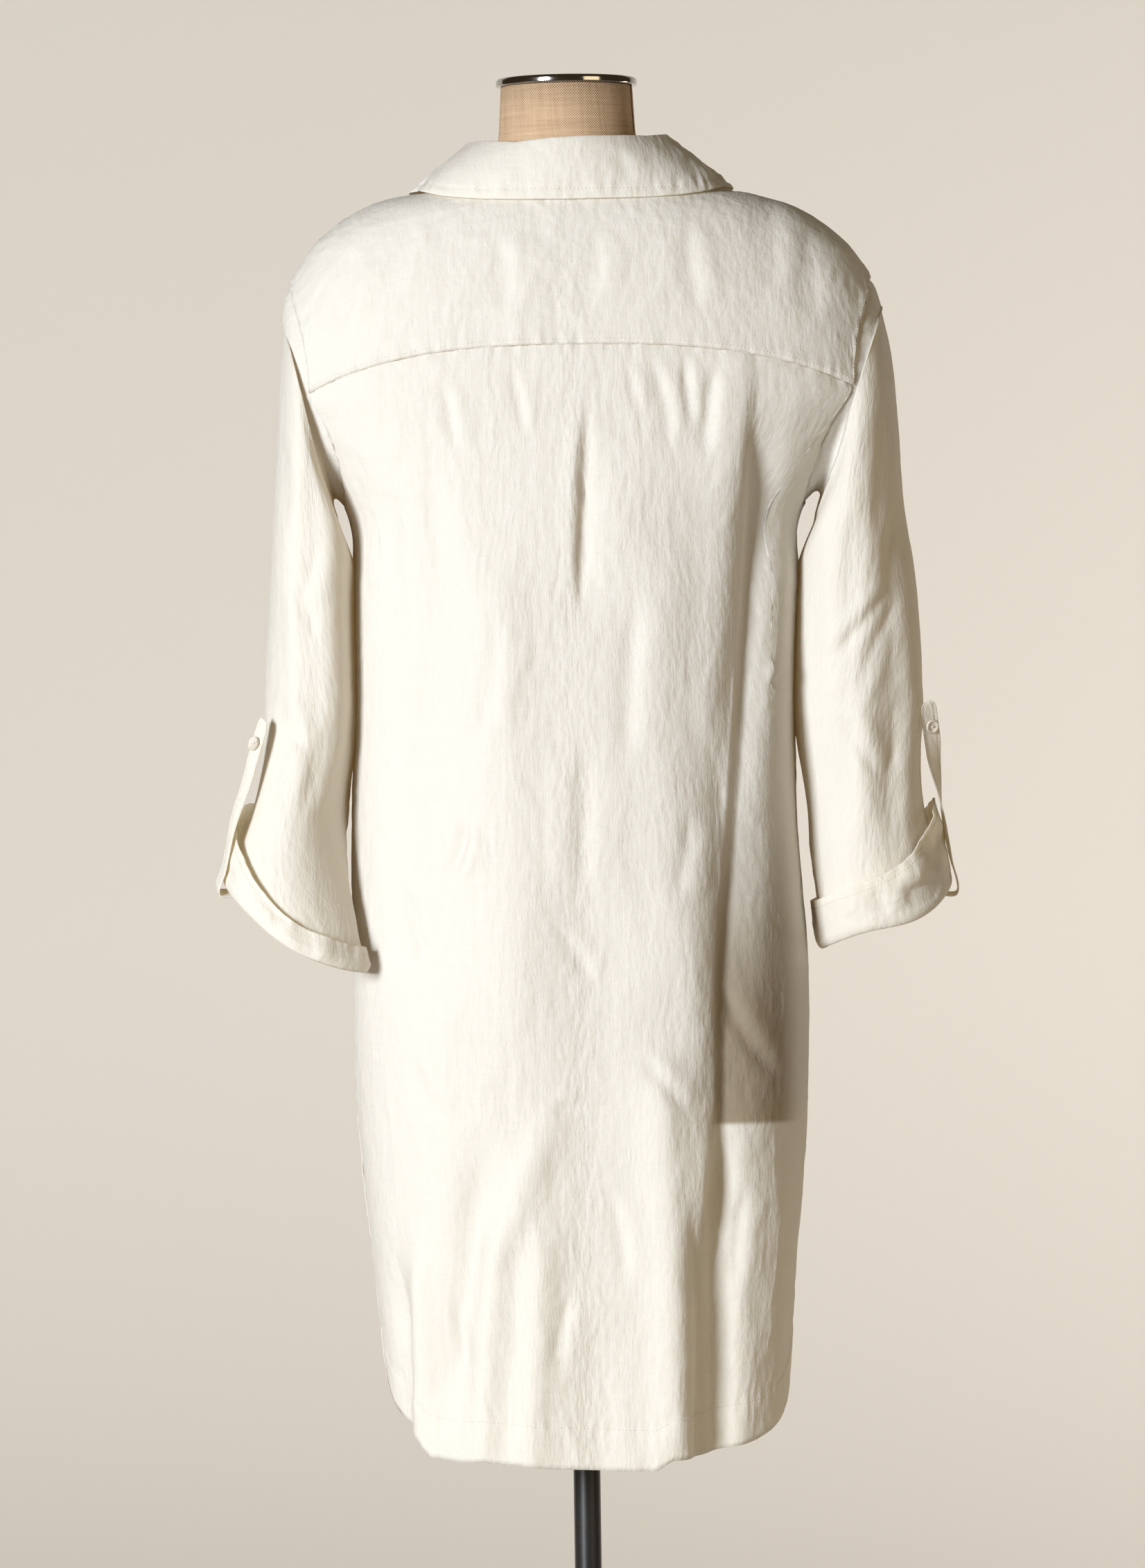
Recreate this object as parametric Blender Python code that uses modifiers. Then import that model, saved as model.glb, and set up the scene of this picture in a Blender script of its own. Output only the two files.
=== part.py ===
"""A long linen tunic top on a limbless dress form.

Metres, +Z up. The floor is z = 0 and the pole's axis is x = y = 0. The tunic's back faces -Y, and the
wearer's left is -X. A turn is an angle round the body in degrees: 0 is the centre of the back, 90 the
wearer's right side, -90 the left side and 180 the centre of the front. A piece's points lie on its outer
face, and its wall goes inwards from there.
"""

import math

import bmesh
import bpy
import numpy as np
from mathutils import Vector

WALL = 0.0015
SEAM_GAP = 0.0003
LYING_ON = WALL + 2 * SEAM_GAP

# ---- the body of the tunic, as ovals round the pole's axis
OVAL_POWER = 2.3
BODY_COLUMNS = ("z", "left", "right", "back", "front")
BODY_SECTIONS = (
    (0.420, 0.151, 0.153, 0.119, 0.118),
    (0.479, 0.154, 0.156, 0.122, 0.120),
    (0.558, 0.162, 0.163, 0.125, 0.122),
    (0.644, 0.170, 0.172, 0.127, 0.124),
    (0.705, 0.175, 0.176, 0.129, 0.126),
    (0.805, 0.176, 0.178, 0.130, 0.128),
    (0.929, 0.175, 0.171, 0.128, 0.131),
    (1.020, 0.173, 0.171, 0.124, 0.136),
    (1.100, 0.173, 0.175, 0.118, 0.142),
    (1.160, 0.175, 0.178, 0.114, 0.146),
    (1.200, 0.197, 0.207, 0.111, 0.146),
    (1.250, 0.232, 0.250, 0.108, 0.141),
)

# ---- the shoulders, which round over from the body's highest oval to the neckline
SHOULDER_Z = 1.250
SHOULDER_POWER_SIDE = 2.6
SHOULDER_POWER_MIDDLE = 1.7
NECK_HALF_WIDTH = 0.085
NECK_BACK = 0.072
NECK_FRONT = 0.078
NECK_Z = 1.411
NECK_FRONT_DROP = 0.066

# ---- seams
YOKE_SEAM_Z = 1.287
YOKE_SEAM_DROOP = 0.033
YOKE_FRONT_ANGLE = 45
SLIT_FOOT_ANGLE = 15
ARMHOLE_Z = 1.254
ARMHOLE_HALF_HEIGHT = 0.088
ARMHOLE_BACK_TURN = 33.0
ARMHOLE_FRONT_TURN = 30.0
HEM_COLUMNS = ("turn", "z")
HEM_BACK = ((0, 0.424), (25, 0.425), (40, 0.431), (55, 0.441), (70, 0.457), (80, 0.477), (90, 0.500))
HEM_FRONT = ((0, 0.444), (40, 0.445), (60, 0.450), (75, 0.468), (90, 0.500))

# ---- the neck slit
SLIT_HALF_WIDTH = 0.043
PLACKET_WIDTH = 0.028
PLACKET_FOOT_Z = 1.080
PLACKET_TOP_GAP = 0.003
PLACKET_BUTTON_ZS = (1.246, 1.180, 1.114)
OPEN_BUTTON_Z = 1.312

# ---- the largest folds: soft ridges (depth above 0) and troughs, between two heights
# columns: x_top, z_top, x_foot, z_foot, half_width, depth
BACK_FOLDS = (
    (0.017, 1.235, 0.006, 1.050, 0.014, -0.004),
    (0.150, 1.240, 0.116, 0.950, 0.017, -0.010),
    (0.116, 1.010, 0.106, 0.640, 0.018, -0.010),
    (0.160, 1.180, 0.138, 0.900, 0.014, 0.005),
    (0.108, 0.700, 0.104, 0.380, 0.011, -0.013),
    (0.060, 0.760, 0.068, 0.380, 0.016, 0.008),
    (0.086, 0.640, 0.085, 0.380, 0.010, -0.009),
    (0.150, 0.680, 0.146, 0.400, 0.012, 0.004),
    (-0.110, 1.160, -0.118, 0.760, 0.022, -0.005),
    (-0.060, 1.150, -0.048, 0.720, 0.024, 0.004),
    (0.070, 1.150, 0.070, 0.760, 0.022, 0.004),
    (0.010, 0.900, 0.012, 0.520, 0.030, -0.005),
    (-0.018, 0.720, -0.072, 0.560, 0.015, 0.006),
    (-0.066, 0.640, -0.082, 0.380, 0.014, 0.008),
    (-0.074, 0.690, -0.106, 0.440, 0.015, -0.009),
    (-0.028, 0.640, -0.046, 0.380, 0.014, 0.007),
    (0.010, 0.560, 0.010, 0.380, 0.020, -0.005),
    (-0.127, 0.620, -0.127, 0.360, 0.009, 0.006),
    (-0.141, 0.600, -0.141, 0.360, 0.008, -0.009),
)
FRONT_FOLDS = (
    (-0.120, 1.120, -0.108, 0.400, 0.018, -0.009),
    (-0.085, 1.040, -0.078, 0.400, 0.018, 0.006),
    (-0.040, 0.900, -0.046, 0.380, 0.016, -0.007),
    (0.030, 0.840, 0.026, 0.380, 0.020, 0.006),
    (0.072, 1.060, 0.066, 0.380, 0.017, -0.009),
    (0.104, 1.120, 0.110, 0.400, 0.016, 0.006),
    (0.135, 1.120, 0.134, 0.420, 0.013, -0.007),
)
FOLD_FADE = 0.070

# ---- the sleeves: outer and inner point of each section, and half its depth from front to back
SLEEVE_COLUMNS = ("outer_x", "outer_y", "outer_z", "inner_x", "inner_y", "inner_z", "half_depth")
SLEEVES = {
    "left": (
        (0.2225, 0.006, 1.314, 0.1850, 0.006, 1.156, 0.071),
        (0.2255, 0.004, 1.280, 0.1850, 0.004, 1.136, 0.075),
        (0.2285, 0.002, 1.235, 0.1840, 0.002, 1.112, 0.077),
        (0.2320, 0.000, 1.180, 0.1830, 0.000, 1.085, 0.077),
        (0.2365, -0.002, 1.110, 0.1820, -0.002, 1.052, 0.076),
        (0.2405, -0.004, 1.050, 0.1815, -0.004, 1.017, 0.075),
        (0.2425, -0.008, 1.000, 0.1810, -0.010, 0.975, 0.073),
        (0.2420, -0.014, 0.962, 0.1800, -0.024, 0.932, 0.070),
        (0.2450, -0.020, 0.930, 0.1750, -0.045, 0.885, 0.067),
        (0.2540, -0.024, 0.905, 0.1670, -0.066, 0.842, 0.064),
        (0.2600, -0.026, 0.891, 0.1640, -0.078, 0.812, 0.062),
    ),
    "right": (
        (0.2425, 0.006, 1.318, 0.1890, 0.006, 1.156, 0.073),
        (0.2500, 0.005, 1.280, 0.1890, 0.005, 1.136, 0.077),
        (0.2540, 0.004, 1.230, 0.1880, 0.004, 1.112, 0.079),
        (0.2565, 0.004, 1.172, 0.1860, 0.004, 1.085, 0.079),
        (0.2640, 0.004, 1.112, 0.1840, 0.004, 1.052, 0.078),
        (0.2680, 0.004, 1.052, 0.1830, 0.004, 1.017, 0.076),
        (0.2680, 0.004, 1.008, 0.1815, 0.004, 0.975, 0.074),
        (0.2660, 0.004, 0.970, 0.1805, 0.004, 0.932, 0.071),
        (0.2700, 0.004, 0.930, 0.1810, 0.004, 0.888, 0.067),
        (0.2800, 0.004, 0.894, 0.1840, 0.004, 0.850, 0.063),
        (0.2860, 0.004, 0.873, 0.1880, 0.004, 0.824, 0.061),
    ),
}
# columns: angle, half_angle, drop of the sleeve's end below its own oval
SLEEVE_SAGS = {"left": (200, 30, 0.004), "right": (150, 42, 0.014)}
# columns: angle, row_top, row_foot, half_angle, depth
SLEEVE_FOLDS = {
    "left": ((236, 2.5, 9.0, 18, -0.006), (165, 3.5, 10.5, 14, -0.003), (20, 3.0, 10.0, 24, -0.006)),
    "right": ((218, 2.5, 9.5, 18, -0.006), (160, 4.0, 10.0, 16, -0.005), (15, 3.0, 10.0, 24, -0.006)),
}
SLEEVE_POWER = 2.2
SLEEVE_SEAM_SHRINK = 0.0045
SLEEVE_CAP_SHRINK = 0.45
SLEEVE_CLEARANCE = 0.003
CUFF_END_CLEARANCE = 0.012
CUFF_CLEARANCE = 0.002

# ---- rolled cuffs, their tabs and the buttons
# columns: height at the inner edge, height at the outer edge
CUFF_HEIGHTS = {"left": (0.014, 0.050), "right": (0.031, 0.064)}
CUFF_STAND_OFF = 0.0035
CUFF_FLARE = 0.004
CUFF_LIP_DEPTH = 0.0026
CUFF_LIP_DROP = 0.0046
# columns: angle at the cuff, angle at the tip, twist at the tip, run from the cuff's foot to the tip
TAB_COLUMNS = ("angle", "tip_angle", "twist", "top_run")
TABS = {"left": (138.0, 138.0, 14.0, 0.129), "right": (98.0, 116.0, 58.0, 0.148)}
TAB_WIDTH = 0.014
TAB_BUTTON_RUN = 0.020
TAB_INSIDE_RUN = 0.026
TAB_LIFT = 0.0022
TAB_TIP_LIFT = 0.0072
# columns: share of the way from the tip to the cuff, share of the width, share of the twist
TAB_ROWS = ((0, 0.5, 1), (0.035, 0.88, 1), (0.08, 1, 1), (0.40, 1, 1), (0.72, 1, 0.5))
EDGE_STEP_ANGLE = 4.0
BUTTON_RADIUS = 0.0055
BUTTON_THICKNESS = 0.0024
BUTTON_HOLE_RADIUS = 0.0008
BUTTON_HOLE_SPREAD = 0.0013

# ---- the collar
COLLAR_END_TURN = 150.0
FOLD_LINE_HALF_WIDTH = 0.081
FOLD_LINE_BACK = 0.078
FOLD_LINE_FRONT = 0.078
STAND_HEIGHT_BACK = 0.039
STAND_HEIGHT_END = 0.025
COLLAR_TOP_ROUNDING = 0.0035
COLLAR_BULGE = 0.003
COLLAR_EDGE_LIFT = 0.0012
COLLAR_POINT_LIFT = 0.006
COLLAR_EDGE_COLUMNS = ("turn", "edge_turn", "edge_z")
COLLAR_EDGE = (
    (0, 0, 1.3985),
    (30, 31, 1.4000),
    (60, 61, 1.4075),
    (85, 86, 1.4103),
    (105, 107, 1.3990),
    (125, 126, 1.3660),
    (150, 143, 1.3200),
)

# ---- the dress form and its stand
FORM_GAP = WALL + 0.0005
FORM_FRONT_GAP = 0.005
FORM_FALL_AWAY = 0.006
FORM_FALL_POWER = 6
FORM_ARM_FOOT_Z = 1.244
FORM_FRONT_STEPS = 8
ARM_PLATE_X = 0.200
ARM_PLATE_SHARPNESS = 16
# columns: z, half, back, front
FORM_SECTIONS = (
    (1.200, 0.178, 0.099, 0.129),
    (1.130, 0.153, 0.091, 0.121),
    (1.030, 0.130, 0.080, 0.094),
    (0.940, 0.144, 0.096, 0.099),
    (0.850, 0.161, 0.110, 0.105),
    (0.770, 0.166, 0.112, 0.104),
    (0.700, 0.162, 0.105, 0.099),
    (0.686, 0.158, 0.101, 0.095),
)
# columns: z, radius
NECK_RINGS = ((1.436, 0.0555), (1.460, 0.0530), (1.4925, 0.0512))
CAP_RADIUS = 0.055
CAP_THICKNESS = 0.0068
POLE_RADIUS = 0.0105
BASE_RADIUS = 0.165
BASE_THICKNESS = 0.008
BASE_HUB_RADIUS = 0.022
BASE_HUB_HEIGHT = 0.030
ROUND_STEPS = 32
BUTTON_STEPS = 16
MERGE_DISTANCE = 1e-6

# ---- how finely the cloth is divided
ARMHOLE_STEP_ANGLE = 15
BACK_MIDDLE_STEPS = 32
HUNG_ROWS = 15
YOKE_ROWS = 6
FRONT_HALF_STEPS = 11
FRONT_YOKE_ROWS = 4
ALLOWANCE_TURN = 1.5
ALLOWANCE_BEND_SHARE = 0.03
ALLOWANCE_HUNG_SHARE = 0.005
ALLOWANCE_SLEEVE_ROW = 0.08
PLACKET_OPEN_ROWS = 5
PLACKET_CLOSED_ROWS = 7
COLLAR_STEPS = 28
COLLAR_ROWS = 4

LINEN = ("linen", (0.86, 0.83, 0.75), 0.85, 0.0)
FORM_LINEN = ("form_linen", (0.55, 0.41, 0.27), 0.9, 0.0)
PEARL = ("pearl_button", (0.80, 0.74, 0.66), 0.25, 0.0)
CHROME = ("chrome", (0.75, 0.75, 0.76), 0.12, 1.0)
BLACK_PAINT = ("black_paint", (0.015, 0.015, 0.016), 0.35, 0.0)


# ------------------------------------------------------------------ tools

def column(table, names, name):
    return np.array([row[names.index(name)] for row in table], float)


def through(places, values, place):
    """A smooth curve through values at rising places: cubic pieces with the chords' slopes."""
    slopes = np.gradient(values, places)
    place = np.clip(place, places[0], places[-1])
    start = np.clip(np.searchsorted(places, place) - 1, 0, len(places) - 2)
    width = places[start + 1] - places[start]
    t = (place - places[start]) / width
    risen = t * t * (3 - 2 * t)
    return (
        values[start] * (1 - risen)
        + values[start + 1] * risen
        + width * t * (1 - t) * ((1 - t) * slopes[start] - t * slopes[start + 1])
    )


def eased(start, end, value):
    t = np.clip((value - start) / (end - start), 0, 1)
    return t * t * (3 - 2 * t)


def stacked(x, y, z):
    return np.stack(np.broadcast_arrays(x, y, z), axis=-1).astype(float)


def unit(vectors):
    return vectors / np.linalg.norm(vectors, axis=-1, keepdims=True)


def normals_of(grid, closed, inside):
    """Outward normals of a grid of points, whose rows close on themselves if closed says so."""
    if closed:
        across = np.roll(grid, -1, axis=1) - np.roll(grid, 1, axis=1)
    else:
        across = np.gradient(grid, axis=1)
    normals = unit(np.cross(across, np.gradient(grid, axis=0)))
    outward = np.sum(normals * (grid - inside), axis=-1, keepdims=True)
    return normals * np.sign(np.median(outward))


# ------------------------------------------------------------------ surface of the tunic's body

def oval(turn, left, right, back, front):
    s = np.sin(np.radians(turn))
    c = np.cos(np.radians(turn))
    reach = (np.abs(s) ** OVAL_POWER + np.abs(c) ** OVAL_POWER) ** (-1 / OVAL_POWER)
    return reach * s * np.where(s < 0, left, right), -reach * c * np.where(c > 0, back, front)


def body_sizes(z):
    heights = column(BODY_SECTIONS, BODY_COLUMNS, "z")
    return [through(heights, column(BODY_SECTIONS, BODY_COLUMNS, name), z) for name in BODY_COLUMNS[1:]]


def fold_depth(x, z, table):
    depth = np.zeros(np.broadcast(x, z).shape)
    for x_top, z_top, x_foot, z_foot, half_width, deep in table:
        share = np.clip((z_top - z) / (z_top - z_foot), 0, 1)
        line = x_top + (x_foot - x_top) * share
        fade = eased(z_top, z_top - FOLD_FADE, z) * eased(z_foot, z_foot + FOLD_FADE, z)
        depth += deep * fade * np.exp(-(((x - line) / half_width) ** 2))
    return depth


def hung_point(turn, z):
    """A point of the cloth where it hangs, at or below the shoulders' first oval."""
    left, right, back, front = body_sizes(z)
    x, y = oval(turn, left, right, back, front)
    at_back = np.cos(np.radians(turn)) > 0
    depth = np.where(at_back, fold_depth(x, z, BACK_FOLDS), fold_depth(x, z, FRONT_FOLDS))
    out_x = x / np.where(x < 0, left, right) ** 2
    out_y = y / np.where(y < 0, back, front) ** 2
    length = np.hypot(out_x, out_y)
    return stacked(x + depth * out_x / length, y + depth * out_y / length, z)


def neckline(turn):
    s = np.sin(np.radians(turn))
    c = np.cos(np.radians(turn))
    drop = NECK_FRONT_DROP * np.clip(-c, 0, 1) ** 1.5
    return NECK_HALF_WIDTH * s, -c * np.where(c > 0, NECK_BACK, NECK_FRONT), NECK_Z - drop


def shoulder_power(turn):
    side = np.sin(np.radians(turn)) ** 2
    return SHOULDER_POWER_MIDDLE + (SHOULDER_POWER_SIDE - SHOULDER_POWER_MIDDLE) * side


def shoulder_point(turn, bend):
    """A point on the way from the neckline (bend 0) to the body's highest oval (bend 90 degrees)."""
    neck_x, neck_y, neck_z = neckline(turn)
    foot = hung_point(turn, SHOULDER_Z)
    power = shoulder_power(turn)
    out = np.sin(np.radians(bend)) ** (2 / power)
    up = np.cos(np.radians(bend)) ** (2 / power)
    return stacked(
        neck_x + (foot[..., 0] - neck_x) * out,
        neck_y + (foot[..., 1] - neck_y) * out,
        SHOULDER_Z + (neck_z - SHOULDER_Z) * up,
    )


def bend_at(turn, z):
    up = np.clip((z - SHOULDER_Z) / (neckline(turn)[2] - SHOULDER_Z), 0, 1)
    return np.degrees(np.arccos(up ** (shoulder_power(turn) / 2)))


def body_point(turn, z):
    turn, z = np.broadcast_arrays(np.asarray(turn, float), np.asarray(z, float))
    above = z > SHOULDER_Z
    hung = hung_point(turn, np.minimum(z, SHOULDER_Z))
    return np.where(above[..., None], shoulder_point(turn, bend_at(turn, z)), hung)


def armhole(angle, shrink=0.0):
    """Turn from the side line (back is minus) and height at an angle round the armhole: 90 is its top."""
    s = np.sin(np.radians(angle))
    c = np.cos(np.radians(angle))
    reach = 1 - shrink
    turn = np.where(c > 0, ARMHOLE_FRONT_TURN, ARMHOLE_BACK_TURN) * c * reach
    return turn, ARMHOLE_Z + ARMHOLE_HALF_HEIGHT * s * reach


def armhole_z(turn, branch):
    """Height of the armhole's upper (branch 1) or lower (branch -1) edge at a turn of the right side."""
    aside = np.asarray(turn, float) - 90
    share = np.clip(aside / np.where(aside > 0, ARMHOLE_FRONT_TURN, ARMHOLE_BACK_TURN), -1, 1)
    return ARMHOLE_Z + branch * ARMHOLE_HALF_HEIGHT * np.sqrt(1 - share**2)


def gap_turn(radius):
    return math.degrees(SEAM_GAP / radius)


def armhole_angles(start, end):
    """Angles round the armhole, at the steps that every piece sewn to it shares."""
    steps = round(abs(end - start) / ARMHOLE_STEP_ANGLE)
    return np.linspace(start, end, steps + 1)


YOKE_CORNER_TURN = 90 - ARMHOLE_BACK_TURN
YOKE_END_TURN = 90 + float(armhole(YOKE_FRONT_ANGLE)[0])
YOKE_END_Z = float(armhole(YOKE_FRONT_ANGLE)[1])
SLIT_FOOT_Z = float(armhole(SLIT_FOOT_ANGLE)[1])
UNDERARM_Z = ARMHOLE_Z - ARMHOLE_HALF_HEIGHT


def yoke_seam_z(turn):
    share = np.abs(np.sin(np.radians(turn))) / math.sin(math.radians(YOKE_CORNER_TURN))
    return YOKE_SEAM_Z - YOKE_SEAM_DROOP * np.minimum(share, 1) ** 3


def hem_z(turn, table):
    return through(column(table, HEM_COLUMNS, "turn"), column(table, HEM_COLUMNS, "z"), np.abs(turn))


# ------------------------------------------------------------------ Blender

def clear_scene():
    for thing in list(bpy.data.objects):
        bpy.data.objects.remove(thing)


def collection(name):
    made = bpy.data.collections.new(name)
    bpy.context.scene.collection.children.link(made)
    return made


def material(name, colour, roughness, metallic):
    made = bpy.data.materials.get(name)
    if made is None:
        made = bpy.data.materials.new(name)
        made.use_nodes = True
        shader = made.node_tree.nodes["Principled BSDF"]
        shader.inputs["Base Color"].default_value = (*colour, 1)
        shader.inputs["Roughness"].default_value = roughness
        shader.inputs["Metallic"].default_value = metallic
        made.diffuse_color = (*colour, 1)
    return made


def add_object(name, mesh, finish, where):
    made = bpy.data.objects.new(name, mesh)
    where.objects.link(made)
    mesh.materials.append(material(*finish))
    mesh.shade_smooth()
    mesh.set_sharp_from_angle(angle=math.radians(35))
    return made


def grid_faces(rows, columns, closed):
    last = columns if closed else columns - 1
    return [
        (
            i * columns + j,
            i * columns + (j + 1) % columns,
            (i + 1) * columns + (j + 1) % columns,
            (i + 1) * columns + j,
        )
        for i in range(rows - 1)
        for j in range(last)
    ]


def facing_out(points, faces, inside):
    """The faces, turned so that they face away from the points inside."""
    corners = points[np.array([face[:3] for face in faces])]
    normals = np.cross(corners[:, 1] - corners[:, 0], corners[:, 2] - corners[:, 0])
    away = np.sum(normals * (corners[:, 0] - inside[np.array([face[0] for face in faces])]), axis=-1)
    return faces if away.sum() > 0 else [tuple(reversed(face)) for face in faces]


def wall(name, points, faces, inside, where):
    """Cloth: an open surface given a wall on its inner side. Points that coincide become one."""
    mesh = bpy.data.meshes.new(name)
    mesh.from_pydata(points.tolist(), [], facing_out(points, faces, inside))
    shape = bmesh.new()
    shape.from_mesh(mesh)
    bmesh.ops.remove_doubles(shape, verts=shape.verts, dist=MERGE_DISTANCE)
    shape.to_mesh(mesh)
    shape.free()
    made = add_object(name, mesh, LINEN, where)
    solidify = made.modifiers.new("wall", "SOLIDIFY")
    solidify.thickness = WALL
    solidify.offset = -1
    return made


def grid_wall(name, grid, closed, inside, where):
    faces = grid_faces(grid.shape[0], grid.shape[1], closed)
    inside = np.broadcast_to(inside, grid.shape)
    return wall(name, grid.reshape(-1, 3), faces, inside.reshape(-1, 3), where)


def on_axis(grid):
    """For each point, the point of the pole's axis at its height."""
    return grid * (0, 0, 1)


# ------------------------------------------------------------------ panels

def across_back(side_turns):
    """Turns over the back between the yoke's corners, with those of both sides beyond them."""
    middle = np.linspace(-YOKE_CORNER_TURN, YOKE_CORNER_TURN, BACK_MIDDLE_STEPS + 1)
    return np.concatenate([-side_turns[:0:-1], middle, side_turns[1:]])


# Beside each seam lies one more line of points, so that both walls meet it at the surface's own slope.

def after_first(places, width):
    return np.insert(places, 1, places[0] + width)


def before_last(places, width):
    return np.insert(places, -1, places[-1] - width)


def hung_shares():
    return after_first(np.linspace(0, 1, HUNG_ROWS + 1), ALLOWANCE_HUNG_SHARE)


def yoke_turns():
    side = 90 + armhole(armhole_angles(180, YOKE_FRONT_ANGLE))[0]
    side[-1] -= gap_turn(0.15)
    return across_back(before_last(side, ALLOWANCE_TURN))


def yoke_foot_z(turns):
    side = np.abs(turns)
    middle = yoke_seam_z(turns)
    return np.where(side <= YOKE_CORNER_TURN, middle, armhole_z(side, 1))


def yoke_shares():
    return before_last(np.linspace(0, 1, YOKE_ROWS + 1), ALLOWANCE_BEND_SHARE)


def yoke_grid(turns):
    foot = bend_at(turns, yoke_foot_z(turns) + SEAM_GAP / 2)
    return shoulder_point(turns[None, :], foot[None, :] * yoke_shares()[:, None])


def make_yoke(where):
    grid = yoke_grid(yoke_turns())
    below = grid * (0.6, 0.6, 1) - (0, 0, 0.1)
    return grid_wall("back_yoke", grid, False, below, where)


def make_back_panel(where):
    side = 90 + armhole(armhole_angles(180, 270))[0]
    side[-1] -= gap_turn(0.12)
    turns = across_back(before_last(side, ALLOWANCE_TURN))
    sewn_to_yoke = np.abs(turns) <= YOKE_CORNER_TURN
    top = np.where(sewn_to_yoke, yoke_seam_z(turns), armhole_z(np.abs(turns), -1)) - SEAM_GAP / 2
    foot = hem_z(turns, HEM_BACK)
    grid = body_point(turns[None, :], top + (foot - top) * hung_shares()[:, None])
    return grid_wall("back_panel", grid, False, on_axis(grid), where)


def slit_half_width(z):
    top = neckline(COLLAR_END_TURN)[2]
    return SLIT_HALF_WIDTH * np.clip((z - SLIT_FOOT_Z) / (top - SLIT_FOOT_Z), 0, 1)


def front_turn_at(x, z):
    """The turn at which the front's surface has this x at this height."""
    side = -1 if x < 0 else 1
    near, far = 90.0, 180.0
    for _ in range(30):
        middle = (near + far) / 2
        if abs(body_point(side * middle, z)[0]) > abs(x):
            near = middle
        else:
            far = middle
    return side * (near + far) / 2


def half_turns(edge, centre):
    return after_first(np.linspace(edge, centre, FRONT_HALF_STEPS + 1), ALLOWANCE_TURN)


def front_half(side):
    """Rows of points of half the front, from its side (or yoke seam, or armhole) to its centre or slit."""
    seam = YOKE_END_TURN + gap_turn(0.15)
    top_z = neckline(COLLAR_END_TURN)[2]
    rows = []
    for share in np.linspace(0, 1, FRONT_YOKE_ROWS + 1):
        z = top_z + (YOKE_END_Z - top_z) * share
        turns = half_turns(seam, abs(front_turn_at(side * slit_half_width(z), z)))
        rows.append(shoulder_point(side * turns, bend_at(side * turns, YOKE_END_Z) * share))
    for angle in armhole_angles(YOKE_FRONT_ANGLE, -90)[1:]:
        aside, z = armhole(angle)
        centre = 180 if angle <= SLIT_FOOT_ANGLE else abs(front_turn_at(side * slit_half_width(z), z))
        edge = 90 + gap_turn(0.12) + aside
        rows.append(body_point(side * half_turns(edge, centre), z))
    turns = half_turns(90 + gap_turn(0.12), 180)
    top_z = UNDERARM_Z - SEAM_GAP / 2
    foot = hem_z(180 - turns, HEM_FRONT)
    for share in hung_shares()[1:]:
        rows.append(body_point(side * turns, top_z + (foot - top_z) * share))
    return np.array(rows)


def make_front_panel(where):
    halves = [front_half(side) for side in (-1, 1)]
    faces = grid_faces(*halves[0].shape[:2], False)
    half_count = halves[0].shape[0] * halves[0].shape[1]
    both = faces + [tuple(half_count + i for i in reversed(face)) for face in faces]
    points = np.concatenate([half.reshape(-1, 3) for half in halves])
    return wall("front_panel", points, both, points * (0, 0, 1), where)


# ------------------------------------------------------------------ placket

def surface_out(turn, z, distance):
    """A point of the body's surface moved straight out by a distance, and the outward normal there."""
    nudge_turn = 0.2
    nudge_z = 0.0004
    z = np.minimum(z, neckline(turn)[2] - 3 * nudge_z)
    at = body_point(turn, z)
    across = body_point(turn + nudge_turn, z) - body_point(turn - nudge_turn, z)
    up = body_point(turn, z + nudge_z) - body_point(turn, z - nudge_z)
    normal = unit(np.cross(across, up))
    normal = normal * np.sign(np.sum(normal * at * (1, 1, 0), axis=-1, keepdims=True))
    return at + normal * distance, normal


def placket_heights():
    top_z = neckline(COLLAR_END_TURN)[2] - PLACKET_TOP_GAP
    beside_slit = np.linspace(top_z, SLIT_FOOT_Z, PLACKET_OPEN_ROWS + 1)
    below_slit = np.linspace(SLIT_FOOT_Z, PLACKET_FOOT_Z, PLACKET_CLOSED_ROWS + 1)[1:]
    return np.concatenate([beside_slit, below_slit])


def placket_band(side, heights, distance):
    rows = []
    for z in heights:
        middle = side * slit_half_width(z)
        xs = middle + np.array([-0.5, 0, 0.5]) * PLACKET_WIDTH
        turns = np.array([front_turn_at(x, z) for x in xs])
        rows.append(surface_out(turns, z, distance)[0])
    return np.array(rows)


def make_plackets(where):
    heights = placket_heights()
    over = placket_band(1, heights, 2 * LYING_ON)
    under = placket_band(-1, heights[: PLACKET_OPEN_ROWS + 2], LYING_ON)
    grid_wall("placket_right", over, False, on_axis(over), where)
    grid_wall("placket_left", under, False, on_axis(under), where)


# ------------------------------------------------------------------ collar

def fold_line(turn):
    s = np.sin(np.radians(turn))
    c = np.cos(np.radians(turn))
    share = eased(0, COLLAR_END_TURN, np.abs(turn))
    height = STAND_HEIGHT_BACK + (STAND_HEIGHT_END - STAND_HEIGHT_BACK) * share
    depth = np.where(c > 0, FOLD_LINE_BACK, FOLD_LINE_FRONT)
    return stacked(FOLD_LINE_HALF_WIDTH * s, -c * depth, neckline(turn)[2] + height)


def collar_edge(turn):
    turns = column(COLLAR_EDGE, COLLAR_EDGE_COLUMNS, "turn")
    edge_turn = through(turns, column(COLLAR_EDGE, COLLAR_EDGE_COLUMNS, "edge_turn"), np.abs(turn))
    edge_z = through(turns, column(COLLAR_EDGE, COLLAR_EDGE_COLUMNS, "edge_z"), np.abs(turn))
    lift = COLLAR_EDGE_LIFT + COLLAR_POINT_LIFT * eased(90, COLLAR_END_TURN, np.abs(turn))[..., None]
    return surface_out(np.sign(turn) * edge_turn, edge_z, LYING_ON + lift)[0]


def collar_turns():
    return np.linspace(-COLLAR_END_TURN, COLLAR_END_TURN, COLLAR_STEPS + 1)


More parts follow.
